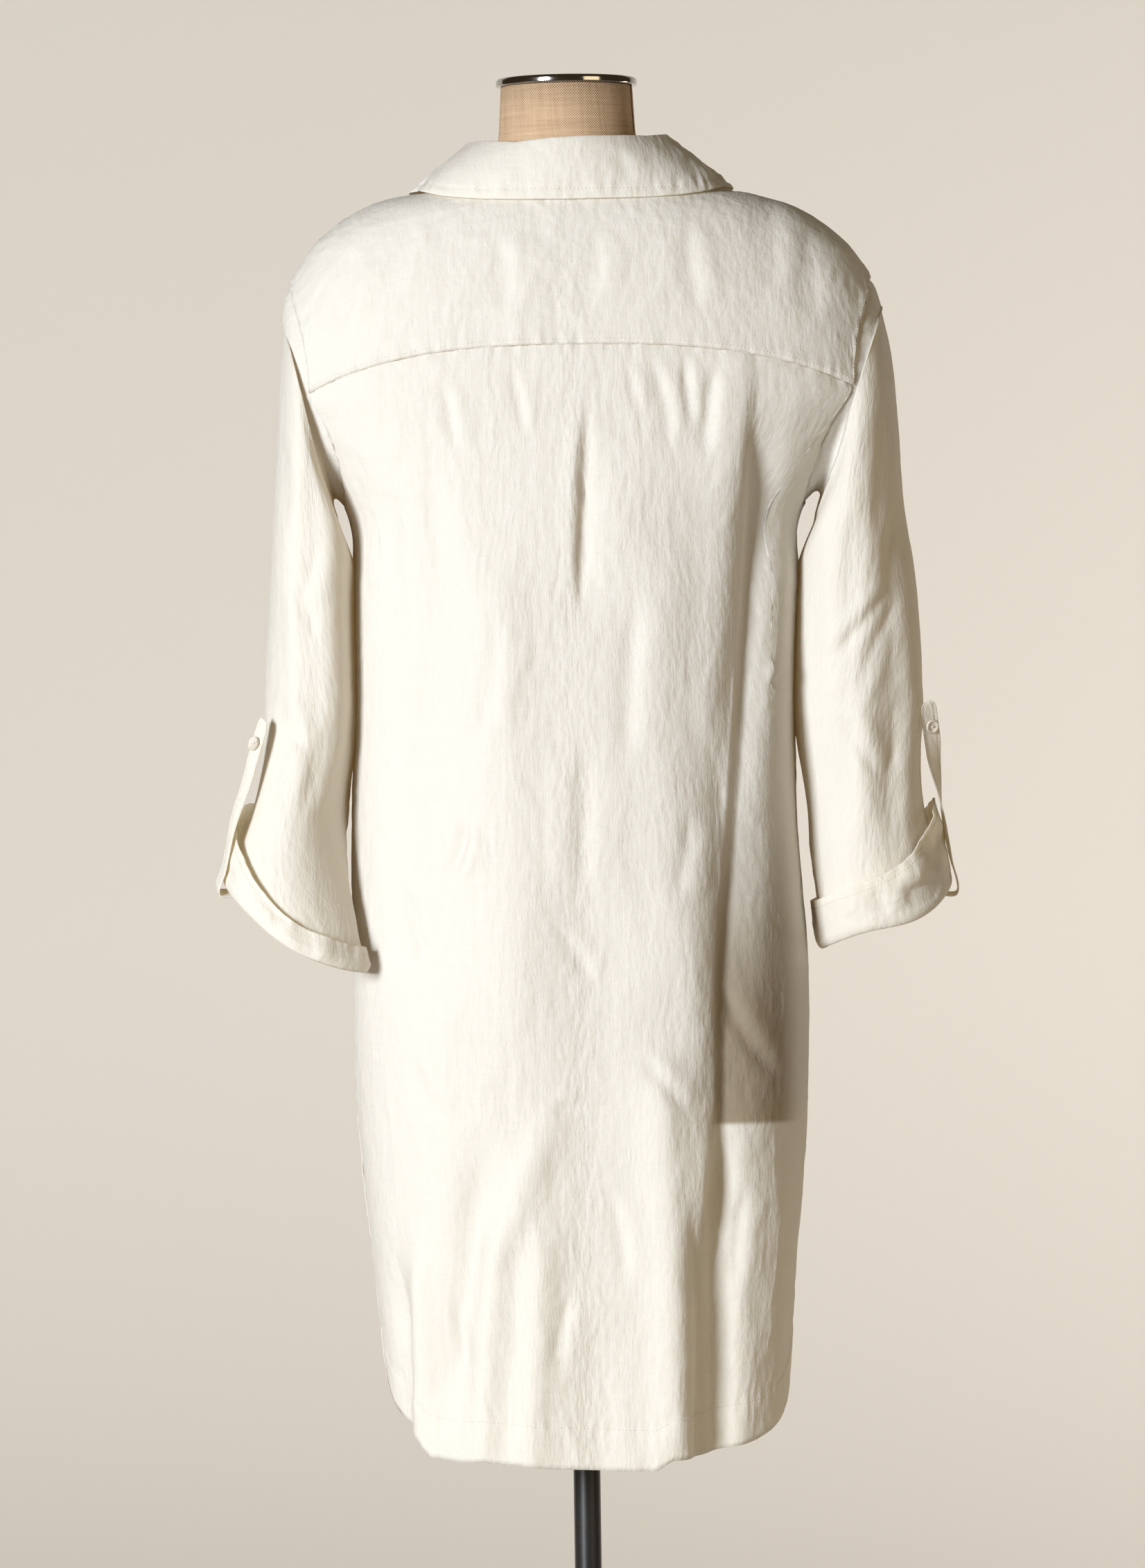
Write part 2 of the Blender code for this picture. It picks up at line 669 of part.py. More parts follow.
def moved(points, out, up):
    """Points moved out from the pole's axis, and up."""
    level = unit(points * (1, 1, 0))
    return points + level * out + np.array((0, 0, up))


def make_collar(where):
    turns = collar_turns()
    fold = fold_line(turns)
    foot = stacked(*neckline(turns)) + np.array((0, 0, 4 * SEAM_GAP))
    top = moved(fold, -0.0015, -0.0022)
    stand = np.array([foot + (top - foot) * share for share in (0, 0.5, 1)])
    grid_wall("collar_stand", stand, False, on_axis(stand), where)

    rounded = COLLAR_TOP_ROUNDING
    rows = [moved(fold, -rounded, -0.0003), moved(fold, -rounded / 3, 0)]
    rows.append(moved(fold, rounded / 3, -rounded / 2))
    start = rows[-1]
    edge = collar_edge(turns)
    for share in np.linspace(0, 1, COLLAR_ROWS + 1)[1:]:
        rows.append(moved(start + (edge - start) * share, COLLAR_BULGE * math.sin(math.pi * share), 0))
    fall = np.array(rows)
    inside = fold * (0.7, 0.7, 1) - (0, 0, 0.03)
    grid_wall("collar_fall", fall, False, inside, where)


# ------------------------------------------------------------------ sleeves

def kept_clear(points, clearance):
    """Points moved out from the body of the tunic, where they are nearer to it than the clearance."""
    x, y, z = points[..., 0], points[..., 1], points[..., 2]
    left, right, back, front = body_sizes(z)
    half = np.where(x < 0, left, right) + clearance
    depth = np.where(y < 0, back, front) + clearance
    reach = ((np.abs(x) / half) ** OVAL_POWER + (np.abs(y) / depth) ** OVAL_POWER) ** (1 / OVAL_POWER)
    push = np.maximum(1, 1 / np.maximum(reach, 0.2))
    return stacked(x * push, y * push, z)


def sleeve_seam(side, angle, row):
    """The sleeve's seam line at row 0, and the body's surface further inside the armhole below it."""
    sign = -1 if side == "left" else 1
    aside, z = armhole(angle, shrink=SLEEVE_SEAM_SHRINK + SLEEVE_CAP_SHRINK * np.clip(row, 0, 1))
    return body_point(sign * (90 + aside), z)


def sleeve_point(side, angle, row):
    """A point of the sleeve: angle 90 is its outer edge, 180 its back, and row 0 its armhole seam."""
    angle, row = np.broadcast_arrays(np.asarray(angle, float), np.asarray(row, float))
    sign = -1 if side == "left" else 1
    places = np.arange(1, len(SLEEVES[side]) + 1)
    size = {
        name: through(places, column(SLEEVES[side], SLEEVE_COLUMNS, name), row) for name in SLEEVE_COLUMNS
    }
    outer = stacked(sign * size["outer_x"], size["outer_y"], size["outer_z"])
    inner = stacked(sign * size["inner_x"], size["inner_y"], size["inner_z"])
    reach = (outer - inner) / 2
    forward = unit(np.cross(reach, (0, 0, 1)))
    forward = forward * np.sign(forward[..., 1:2])
    s = np.sin(np.radians(angle))
    c = np.cos(np.radians(angle))
    power = SLEEVE_POWER
    fullness = (np.abs(s) ** power + np.abs(c) ** power) ** (-1 / power)
    away = reach * (fullness * s)[..., None] + forward * (fullness * c * size["half_depth"])[..., None]
    depth = np.zeros(row.shape)
    for fold_angle, row_top, row_foot, half_angle, deep in SLEEVE_FOLDS[side]:
        apart = (angle - fold_angle + 180) % 360 - 180
        fade = eased(row_top, row_top + 2, row) * eased(row_foot, row_foot - 2, row)
        depth += deep * fade * np.exp(-((apart / half_angle) ** 2))
    hanging = (outer + inner) / 2 + away + unit(away) * depth[..., None]
    sag_angle, half_angle, drop = SLEEVE_SAGS[side]
    hanging[..., 2] -= drop * eased(8, 11, row) * np.exp(-(((angle - sag_angle) / half_angle) ** 2))
    clearance = SLEEVE_CLEARANCE * eased(0.5, 3, row) + CUFF_END_CLEARANCE * eased(7, 10, row)
    hanging = kept_clear(hanging, clearance)
    share = eased(ALLOWANCE_SLEEVE_ROW, 1, row)[..., None]
    return sleeve_seam(side, angle, row) * (1 - share) + hanging * share


def sleeve_out(side, angle, row, distance):
    """A point of the sleeve moved straight out by a distance."""
    last = len(SLEEVES[side])
    at = sleeve_point(side, angle, row)
    across = sleeve_point(side, angle + 1, row) - sleeve_point(side, angle - 1, row)
    down = sleeve_point(side, angle, np.minimum(row + 0.1, last)) - sleeve_point(side, angle, row - 0.1)
    middle = (sleeve_point(side, angle + 180, row) + at) / 2
    normal = unit(np.cross(across, down))
    normal = normal * np.sign(np.sum(normal * (at - middle), axis=-1, keepdims=True))
    return at + normal * np.asarray(distance)[..., None]


def row_up(side, angle, run):
    """The row that lies a run's length up the sleeve from its end, at an angle."""
    last = len(SLEEVES[side])
    rows = np.linspace(last, last - 6, 61)
    path = sleeve_point(side, np.full(rows.shape, float(angle)), rows)
    lengths = np.concatenate([[0], np.cumsum(np.linalg.norm(np.diff(path, axis=0), axis=-1))])
    return np.interp(run, lengths, rows)


def sleeve_angles():
    return armhole_angles(0, 360)[:-1]


def make_sleeve(side, where):
    rows = np.concatenate([[0, ALLOWANCE_SLEEVE_ROW, 0.5], np.arange(1, len(SLEEVES[side]) + 1)])
    grid = sleeve_point(side, sleeve_angles()[None, :], rows[:, None])
    inside = grid.mean(axis=1, keepdims=True)
    return grid_wall(f"sleeve_{side}", grid, True, inside, where)


def sleeve_end(side, angle):
    """A point of the sleeve's end, with the ways out from the cloth, along its edge and down past it."""
    last = len(SLEEVES[side])
    end = sleeve_point(side, angle, last)
    out = unit(sleeve_out(side, angle, last, 1.0) - end)
    near = sleeve_point(side, angle + np.array([-EDGE_STEP_ANGLE, EDGE_STEP_ANGLE]), last)
    along = unit(near[1] - near[0])
    down = unit(np.cross(along, out))
    return end, out, along, down * np.sign(np.dot(down, end - sleeve_point(side, angle, last - 1)))


def cuff_height(side, angle):
    outward = (1 + math.sin(math.radians(angle))) / 2
    inner, outer = CUFF_HEIGHTS[side]
    return inner + (outer - inner) * outward**3


def cuff_profile(side, angle):
    """Outer points of the turned-up cuff at an angle, from inside its lip round to its upper edge."""
    end, out, along, down = sleeve_end(side, angle)
    stand_off = CUFF_STAND_OFF + LYING_ON
    points = [
        end - out * CUFF_LIP_DEPTH + down * CUFF_LIP_DROP,
        end + out * 0.4 * stand_off + down * (CUFF_LIP_DROP + WALL / 2),
        end + out * 0.95 * stand_off,
    ]
    height = cuff_height(side, angle)
    for share in (0.25, 0.5, 0.75, 1):
        row = row_up(side, angle, height * share)
        flare = CUFF_FLARE * (1 + math.sin(math.radians(angle))) / 2
        points.append(sleeve_out(side, angle, row, stand_off + flare * share**2))
    return kept_clear(np.array(points), CUFF_CLEARANCE)


def make_cuff(side, where):
    grid = np.stack([cuff_profile(side, angle) for angle in sleeve_angles()], axis=1)
    inside = sleeve_point(side, sleeve_angles(), len(SLEEVES[side]) - 0.5)
    return grid_wall(f"cuff_{side}", grid, True, inside, where)


def tab_line(side):
    """Middle of the tab, from its tip over the cuff, under its lip and up inside the sleeve, with its ways
    out and across."""
    angle, tip_angle, _, top_run = TABS[side]
    _, out, along, down = sleeve_end(side, angle)
    tip = sleeve_out(side, tip_angle, row_up(side, tip_angle, top_run), LYING_ON + TAB_TIP_LIFT)
    profile = cuff_profile(side, angle)
    over_top = profile[-1] + out * (LYING_ON + TAB_LIFT)
    over_foot = profile[3] + out * (LYING_ON + TAB_LIFT)
    turned = profile[1] + out * TAB_LIFT + down * (LYING_ON + 2 * TAB_LIFT)
    within = profile[0] - out * (LYING_ON + 1.5 * TAB_LIFT) + down * TAB_LIFT
    inside = sleeve_out(side, angle, row_up(side, angle, TAB_INSIDE_RUN), -(2 * LYING_ON + 2 * SEAM_GAP))
    line = [tip + (over_top - tip) * row[0] for row in TAB_ROWS]
    return np.array([*line, over_top, over_foot, turned, within, inside]), out, along


def make_tab(side, where, cutters):
    line, out, along = tab_line(side)
    widths = np.full(len(line), TAB_WIDTH)
    turned = np.zeros(len(line))
    for number, (_, width, twist) in enumerate(TAB_ROWS):
        widths[number] *= width
        turned[number] = math.radians(TABS[side][TAB_COLUMNS.index("twist")] * twist)
    across = along * np.cos(turned)[:, None] - out * np.sin(turned)[:, None]
    grid = line[:, None, :] + across[:, None, :] * (widths[:, None] * np.array([-0.5, 0, 0.5]))[..., None]
    cuff_row = len(TAB_ROWS)
    turning = (line[cuff_row] + line[cuff_row + 2]) / 2 - out * TAB_WIDTH / 3
    grid_wall(f"tab_{side}", grid, False, turning, where)
    outward = unit(np.cross(line[1] - line[0], across[0]))
    outward = outward * np.sign(np.dot(outward, out))
    seat = line[0] + unit(line[1] - line[0]) * TAB_BUTTON_RUN + outward * SEAM_GAP
    make_button(f"tab_button_{side}", seat, outward, where, cutters)


# ------------------------------------------------------------------ buttons and stand

def placed_cylinder(name, radius, height, foot, outward, steps):
    """A cylinder that stands on its foot point and points outward."""
    turned = Vector(outward).to_track_quat("Z", "Y")
    middle = Vector(foot) + Vector(outward) * (height / 2)
    bpy.ops.mesh.primitive_cylinder_add(
        vertices=steps, radius=radius, depth=height, location=middle, rotation=turned.to_euler()
    )
    made = bpy.context.object
    made.name = name
    made.data.name = name
    return made


def moved_to(thing, where):
    for holder in list(thing.users_collection):
        holder.objects.unlink(thing)
    where.objects.link(thing)


def finished(thing, finish, where):
    moved_to(thing, where)
    thing.data.materials.append(material(*finish))
    thing.data.shade_smooth()
    thing.data.set_sharp_from_angle(angle=math.radians(35))
    return thing


def make_button(name, seat, outward, where, cutters):
    """A 2-hole button whose flat underside rests at the seat."""
    button = placed_cylinder(name, BUTTON_RADIUS, BUTTON_THICKNESS, seat, outward, BUTTON_STEPS)
    finished(button, PEARL, where)
    rim = button.modifiers.new("rim", "BEVEL")
    rim.width = BUTTON_THICKNESS / 5
    rim.segments = 1
    sideways = np.cross(outward, (0, 0, 1))
    sideways = sideways / np.linalg.norm(sideways)
    for number, spread_by in enumerate((-BUTTON_HOLE_SPREAD, BUTTON_HOLE_SPREAD)):
        foot = np.asarray(seat) + sideways * spread_by - np.asarray(outward) * BUTTON_THICKNESS
        cutter = placed_cylinder(
            f"{name}_hole_{number}", BUTTON_HOLE_RADIUS, 3 * BUTTON_THICKNESS, foot, outward, 8
        )
        moved_to(cutter, cutters)
        cutter.hide_render = True
        cutter.display_type = "WIRE"
        hole = button.modifiers.new(f"hole_{number}", "BOOLEAN")
        hole.object = cutter


def make_placket_buttons(where, cutters):
    turn = front_turn_at(-slit_half_width(OPEN_BUTTON_Z), OPEN_BUTTON_Z)
    seat, outward = surface_out(turn, OPEN_BUTTON_Z, LYING_ON + 2 * SEAM_GAP)
    make_button("placket_button_1", seat, outward, where, cutters)
    for number, z in enumerate(PLACKET_BUTTON_ZS, start=2):
        seat, outward = surface_out(180.0, z, 2 * LYING_ON + 2 * SEAM_GAP)
        make_button(f"placket_button_{number}", seat, outward, where, cutters)


# ------------------------------------------------------------------ dress form and stand

def make_form(where):
    front = np.linspace(YOKE_END_TURN, 360 - YOKE_END_TURN, FORM_FRONT_STEPS + 1)[1:-1]
    turns = np.concatenate([yoke_turns(), front])
    at_front = np.abs((turns + 180) % 360 - 180) > YOKE_END_TURN - ALLOWANCE_TURN / 2
    foot_z = np.where(at_front, YOKE_END_Z, yoke_foot_z(np.minimum(turns, YOKE_END_TURN)))
    bends = bend_at(turns, foot_z + SEAM_GAP / 2)[None, :] * yoke_shares()[:, None]
    arm_foot = body_point(turns[None, :], FORM_ARM_FOOT_Z)
    cloth = np.concatenate([shoulder_point(turns[None, :], bends), arm_foot])
    gap = np.where(at_front, FORM_FRONT_GAP, FORM_GAP)[None, :, None]
    gap = gap + FORM_FALL_AWAY * np.linspace(0, 1, len(cloth))[:, None, None] ** FORM_FALL_POWER
    upper = cloth - normals_of(cloth, True, cloth * (0.5, 0.5, 1) - (0, 0, 0.1)) * gap
    plate = (1 + (np.abs(upper[..., 0]) / ARM_PLATE_X) ** ARM_PLATE_SHARPNESS) ** (-1 / ARM_PLATE_SHARPNESS)
    upper[..., 0] *= plate

    s = np.sin(np.radians(turns))
    c = np.cos(np.radians(turns))
    neck = [stacked(radius * s, -radius * c, z) for z, radius in reversed(NECK_RINGS)]
    torso = [stacked(*oval(turns, half, half, back, ahead), z) for z, half, back, ahead in FORM_SECTIONS]
    grid = np.concatenate([neck, upper, torso])

    rows, columns = grid.shape[:2]
    points = grid.reshape(-1, 3)
    faces = facing_out(points, grid_faces(rows, columns, True), points * (0, 0, 1))
    mesh = bpy.data.meshes.new("dress_form")
    lids = [tuple(range(columns)), tuple(range((rows - 1) * columns, rows * columns))]
    mesh.from_pydata(points.tolist(), [], faces + lids)
    shape = bmesh.new()
    shape.from_mesh(mesh)
    bmesh.ops.recalc_face_normals(shape, faces=shape.faces)
    shape.to_mesh(mesh)
    shape.free()
    add_object("dress_form", mesh, FORM_LINEN, where)


def make_turned(name, profile, finish, where):
    """A turned piece from its profile, which runs from the axis at the top round to the axis below."""
    mesh = bpy.data.meshes.new(name)
    mesh.from_pydata([(r, 0, z) for r, z in profile], [(i, i + 1) for i in range(len(profile) - 1)], [])
    made = add_object(name, mesh, finish, where)
    screw = made.modifiers.new("turned", "SCREW")
    screw.steps = ROUND_STEPS
    screw.render_steps = ROUND_STEPS
    screw.use_merge_vertices = True
    screw.merge_threshold = 1e-5


def make_stand(where):
    cap_foot = NECK_RINGS[-1][0] + SEAM_GAP
    cap_top = cap_foot + CAP_THICKNESS
    cap = (
        (0, cap_top),
        (CAP_RADIUS * 0.92, cap_top - CAP_THICKNESS * 0.10),
        (CAP_RADIUS, cap_top - CAP_THICKNESS * 0.40),
        (CAP_RADIUS, cap_top - CAP_THICKNESS * 0.80),
        (CAP_RADIUS * 0.93, cap_foot),
        (0, cap_foot),
    )
    make_turned("neck_cap", cap, CHROME, where)
    base = (
        (0, BASE_HUB_HEIGHT),
        (BASE_HUB_RADIUS, BASE_HUB_HEIGHT),
        (BASE_HUB_RADIUS * 1.15, BASE_THICKNESS * 1.2),
        (BASE_RADIUS * 0.94, BASE_THICKNESS),
        (BASE_RADIUS, BASE_THICKNESS * 0.6),
        (BASE_RADIUS, 0),
        (0, 0),
    )
    make_turned("base_plate", base, BLACK_PAINT, where)
    foot_z = BASE_HUB_HEIGHT + SEAM_GAP
    height = FORM_SECTIONS[-1][0] - SEAM_GAP - foot_z
    pole = placed_cylinder("pole", POLE_RADIUS, height, (0, 0, foot_z), (0, 0, 1), ROUND_STEPS)
    finished(pole, BLACK_PAINT, where)


def main():
    clear_scene()
    parts = collection("tunic_top_on_dress_form")
    cutters = collection("cutters")
    make_yoke(parts)
    make_back_panel(parts)
    make_front_panel(parts)
    make_plackets(parts)
    make_collar(parts)
    for side in SLEEVES:
        make_sleeve(side, parts)
        make_cuff(side, parts)
        make_tab(side, parts, cutters)
    make_placket_buttons(parts, cutters)
    make_form(parts)
    make_stand(parts)


main()
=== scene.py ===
"""Makes the visible pieces of a long linen tunic top on a limbless dress form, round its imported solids.

Metres, +Z up. The floor is z = 0 and the pole's axis is x = y = 0. The tunic's back faces -Y, and the
wearer's left is -X. A turn is an angle round the body in degrees: 0 is the centre of the back, 90 the
wearer's right side, -90 the left side and 180 the centre of the front.
"""

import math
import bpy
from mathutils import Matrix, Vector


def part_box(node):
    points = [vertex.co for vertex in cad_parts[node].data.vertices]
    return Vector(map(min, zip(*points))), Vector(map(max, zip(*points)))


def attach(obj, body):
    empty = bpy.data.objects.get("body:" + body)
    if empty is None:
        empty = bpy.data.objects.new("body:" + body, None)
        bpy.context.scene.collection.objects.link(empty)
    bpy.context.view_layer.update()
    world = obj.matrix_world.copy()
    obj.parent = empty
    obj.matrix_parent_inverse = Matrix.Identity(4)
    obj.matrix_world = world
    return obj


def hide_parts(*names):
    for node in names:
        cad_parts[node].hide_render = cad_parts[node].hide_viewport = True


bl_info = {
    "name": "Linen tunic top",
    "version": (1, 0, 0),
    "blender": (4, 5, 0),
    "location": "View3D > Sidebar > Tunic",
    "description": "Makes a long linen tunic top, the dress form that wears it and their studio",
    "category": "Add Mesh",
}

import bpy
import numpy as np
from mathutils import Matrix, Vector

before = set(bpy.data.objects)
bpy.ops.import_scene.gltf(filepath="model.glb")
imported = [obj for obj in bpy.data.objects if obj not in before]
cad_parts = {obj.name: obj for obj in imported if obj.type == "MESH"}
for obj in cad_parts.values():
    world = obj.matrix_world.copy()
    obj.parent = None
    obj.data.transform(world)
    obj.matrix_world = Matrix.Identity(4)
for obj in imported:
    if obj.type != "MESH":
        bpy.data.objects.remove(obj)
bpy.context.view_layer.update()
BODY = "root"

# ---- layers of cloth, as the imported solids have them
WALL = 0.0015
SEAM_GAP = 0.0003
LYING_ON = WALL + 2 * SEAM_GAP

# ---- the body of the tunic, as ovals round the pole's axis
OVAL_POWER = 2.3
BODY_COLUMNS = ("z", "left", "right", "back", "front")
BODY_SECTIONS = (
    (0.420, 0.151, 0.153, 0.119, 0.118),
    (0.479, 0.154, 0.156, 0.122, 0.120),
    (0.558, 0.162, 0.163, 0.125, 0.122),
    (0.644, 0.170, 0.172, 0.127, 0.124),
    (0.705, 0.175, 0.176, 0.129, 0.126),
    (0.805, 0.176, 0.178, 0.130, 0.128),
    (0.929, 0.175, 0.171, 0.128, 0.131),
    (1.020, 0.173, 0.171, 0.124, 0.136),
    (1.100, 0.173, 0.175, 0.118, 0.142),
    (1.160, 0.175, 0.178, 0.114, 0.146),
    (1.200, 0.197, 0.207, 0.111, 0.146),
    (1.250, 0.232, 0.250, 0.108, 0.141),
)

# ---- the shoulders, which round over from the body's highest oval to the neckline
SHOULDER_Z = 1.250
SHOULDER_POWER_SIDE = 2.6
SHOULDER_POWER_MIDDLE = 1.7
NECK_HALF_WIDTH = 0.085
NECK_BACK = 0.072
NECK_FRONT = 0.078
NECK_Z = 1.411
NECK_FRONT_DROP = 0.066

# ---- seams
YOKE_SEAM_Z = 1.287
YOKE_SEAM_DROOP = 0.033
YOKE_FRONT_ANGLE = 45
SLIT_FOOT_ANGLE = 15
ARMHOLE_Z = 1.254
ARMHOLE_HALF_HEIGHT = 0.088
ARMHOLE_BACK_TURN = 33.0
ARMHOLE_FRONT_TURN = 30.0
HEM_COLUMNS = ("turn", "z")
HEM_BACK = ((0, 0.424), (25, 0.425), (40, 0.431), (55, 0.441), (70, 0.457), (80, 0.477), (90, 0.500))
HEM_FRONT = ((0, 0.444), (40, 0.445), (60, 0.450), (75, 0.468), (90, 0.500))

# ---- the neck slit
SLIT_HALF_WIDTH = 0.043
PLACKET_WIDTH = 0.028
PLACKET_FOOT_Z = 1.080
PLACKET_TOP_GAP = 0.003

# ---- the largest folds: soft ridges (depth above 0) and troughs, between two heights
# columns: x_top, z_top, x_foot, z_foot, half_width, depth
BACK_FOLDS = (
    (0.017, 1.235, 0.006, 1.050, 0.014, -0.004),
    (0.150, 1.240, 0.116, 0.950, 0.017, -0.010),
    (0.116, 1.010, 0.106, 0.640, 0.018, -0.010),
    (0.160, 1.180, 0.138, 0.900, 0.014, 0.005),
    (0.108, 0.700, 0.104, 0.380, 0.011, -0.013),
    (0.060, 0.760, 0.068, 0.380, 0.016, 0.008),
    (0.086, 0.640, 0.085, 0.380, 0.010, -0.009),
    (0.150, 0.680, 0.146, 0.400, 0.012, 0.004),
    (-0.110, 1.160, -0.118, 0.760, 0.022, -0.005),
    (-0.060, 1.150, -0.048, 0.720, 0.024, 0.004),
    (0.070, 1.150, 0.070, 0.760, 0.022, 0.004),
    (0.010, 0.900, 0.012, 0.520, 0.030, -0.005),
    (-0.018, 0.720, -0.072, 0.560, 0.015, 0.006),
    (-0.066, 0.640, -0.082, 0.380, 0.014, 0.008),
    (-0.074, 0.690, -0.106, 0.440, 0.015, -0.009),
    (-0.028, 0.640, -0.046, 0.380, 0.014, 0.007),
    (0.010, 0.560, 0.010, 0.380, 0.020, -0.005),
    (-0.127, 0.620, -0.127, 0.360, 0.009, 0.006),
    (-0.141, 0.600, -0.141, 0.360, 0.008, -0.009),
)
FRONT_FOLDS = (
    (-0.120, 1.120, -0.108, 0.400, 0.018, -0.009),
    (-0.085, 1.040, -0.078, 0.400, 0.018, 0.006),
    (-0.040, 0.900, -0.046, 0.380, 0.016, -0.007),
    (0.030, 0.840, 0.026, 0.380, 0.020, 0.006),
    (0.072, 1.060, 0.066, 0.380, 0.017, -0.009),
    (0.104, 1.120, 0.110, 0.400, 0.016, 0.006),
    (0.135, 1.120, 0.134, 0.420, 0.013, -0.007),
)
FOLD_FADE = 0.070

# ---- the sleeves: outer and inner point of each section, and half its depth from front to back
SLEEVE_COLUMNS = ("outer_x", "outer_y", "outer_z", "inner_x", "inner_y", "inner_z", "half_depth")
SLEEVES = {
    "left": (
        (0.2225, 0.006, 1.314, 0.1850, 0.006, 1.156, 0.071),
        (0.2255, 0.004, 1.280, 0.1850, 0.004, 1.136, 0.075),
        (0.2285, 0.002, 1.235, 0.1840, 0.002, 1.112, 0.077),
        (0.2320, 0.000, 1.180, 0.1830, 0.000, 1.085, 0.077),
        (0.2365, -0.002, 1.110, 0.1820, -0.002, 1.052, 0.076),
        (0.2405, -0.004, 1.050, 0.1815, -0.004, 1.017, 0.075),
        (0.2425, -0.008, 1.000, 0.1810, -0.010, 0.975, 0.073),
        (0.2420, -0.014, 0.962, 0.1800, -0.024, 0.932, 0.070),
        (0.2450, -0.020, 0.930, 0.1750, -0.045, 0.885, 0.067),
        (0.2540, -0.024, 0.905, 0.1670, -0.066, 0.842, 0.064),
        (0.2600, -0.026, 0.891, 0.1640, -0.078, 0.812, 0.062),
    ),
    "right": (
        (0.2425, 0.006, 1.318, 0.1890, 0.006, 1.156, 0.073),
        (0.2500, 0.005, 1.280, 0.1890, 0.005, 1.136, 0.077),
        (0.2540, 0.004, 1.230, 0.1880, 0.004, 1.112, 0.079),
        (0.2565, 0.004, 1.172, 0.1860, 0.004, 1.085, 0.079),
        (0.2640, 0.004, 1.112, 0.1840, 0.004, 1.052, 0.078),
        (0.2680, 0.004, 1.052, 0.1830, 0.004, 1.017, 0.076),
        (0.2680, 0.004, 1.008, 0.1815, 0.004, 0.975, 0.074),
        (0.2660, 0.004, 0.970, 0.1805, 0.004, 0.932, 0.071),
        (0.2700, 0.004, 0.930, 0.1810, 0.004, 0.888, 0.067),
        (0.2800, 0.004, 0.894, 0.1840, 0.004, 0.850, 0.063),
        (0.2860, 0.004, 0.873, 0.1880, 0.004, 0.824, 0.061),
    ),
}
# columns: angle, half_angle, drop of the sleeve's end below its own oval
SLEEVE_SAGS = {"left": (200, 30, 0.004), "right": (150, 42, 0.014)}
# columns: angle, row_top, row_foot, half_angle, depth
SLEEVE_FOLDS = {
    "left": ((236, 2.5, 9.0, 18, -0.006), (165, 3.5, 10.5, 14, -0.003), (20, 3.0, 10.0, 24, -0.006)),
    "right": ((218, 2.5, 9.5, 18, -0.006), (160, 4.0, 10.0, 16, -0.005), (15, 3.0, 10.0, 24, -0.006)),
}
SLEEVE_POWER = 2.2
SLEEVE_SEAM_SHRINK = 0.0045
SLEEVE_CAP_SHRINK = 0.45
CUFF_END_CLEARANCE = 0.012
CUFF_CLEARANCE = 0.002

# ---- rolled cuffs, their tabs and the buttons
# columns: height at the inner edge, height at the outer edge
CUFF_HEIGHTS = {"left": (0.014, 0.050), "right": (0.031, 0.064)}
CUFF_STAND_OFF = 0.0035
CUFF_FLARE = 0.004
CUFF_LIP_DEPTH = 0.0026
CUFF_LIP_DROP = 0.0046
# columns: angle at the cuff, angle at the tip, twist at the tip, run from the cuff's foot to the tip
TABS = {"left": (138.0, 138.0, 14.0, 0.129), "right": (98.0, 116.0, 58.0, 0.148)}
TAB_TWIST = 2
TAB_WIDTH = 0.014
TAB_INSIDE_RUN = 0.026
TAB_LIFT = 0.0022
TAB_TIP_LIFT = 0.0072
# columns: share of the way from the tip to the cuff, share of the width, share of the twist
TAB_ROWS = ((0, 0.5, 1), (0.035, 0.88, 1), (0.08, 1, 1), (0.40, 1, 1), (0.72, 1, 0.5))
EDGE_STEP_ANGLE = 4.0
BUTTON_RADIUS = 0.0055
BUTTON_THICKNESS = 0.0024
BUTTON_HOLE_RADIUS = 0.0008
BUTTON_HOLE_SPREAD = 0.0013

# ---- the collar
COLLAR_END_TURN = 150.0
FOLD_LINE_HALF_WIDTH = 0.081
FOLD_LINE_BACK = 0.078
FOLD_LINE_FRONT = 0.078
STAND_HEIGHT_BACK = 0.039
STAND_HEIGHT_END = 0.025
COLLAR_TOP_ROUNDING = 0.0035
COLLAR_BULGE = 0.003
COLLAR_EDGE_LIFT = 0.0012
COLLAR_POINT_LIFT = 0.006
COLLAR_EDGE_COLUMNS = ("turn", "edge_turn", "edge_z")
COLLAR_EDGE = (
    (0, 0, 1.3985),
    (30, 31, 1.4000),
    (60, 61, 1.4075),
    (85, 86, 1.4103),
    (105, 107, 1.3990),
    (125, 126, 1.3660),
    (150, 143, 1.3200),
)

# ---- the dress form and its stand
FORM_GAP = WALL + 0.0005
FORM_FRONT_GAP = 0.005
FORM_FALL_AWAY = 0.006
FORM_FALL_POWER = 6
FORM_ARM_FOOT_Z = 1.244
ARM_PLATE_X = 0.200
ARM_PLATE_SHARPNESS = 16
# columns: z, half, back, front
FORM_SECTIONS = (
    (1.200, 0.178, 0.099, 0.129),
    (1.130, 0.153, 0.091, 0.121),
    (1.030, 0.130, 0.080, 0.094),
    (0.940, 0.144, 0.096, 0.099),
    (0.850, 0.161, 0.110, 0.105),
    (0.770, 0.166, 0.112, 0.104),
    (0.700, 0.162, 0.105, 0.099),
    (0.686, 0.158, 0.101, 0.095),
)
# columns: z, radius
NECK_RINGS = ((1.436, 0.0555), (1.460, 0.0530), (1.4925, 0.0512))
CAP_RADIUS = 0.055
CAP_THICKNESS = 0.0068
POLE_RADIUS = 0.0105
BASE_RADIUS = 0.165
BASE_THICKNESS = 0.008
BASE_HUB_RADIUS = 0.022
BASE_HUB_HEIGHT = 0.030

# ---- how finely places on the cloth are searched for
TURN_HALVINGS = 26
CUFF_REACH_ROWS = 6
CUFF_REACH_STEPS = 60

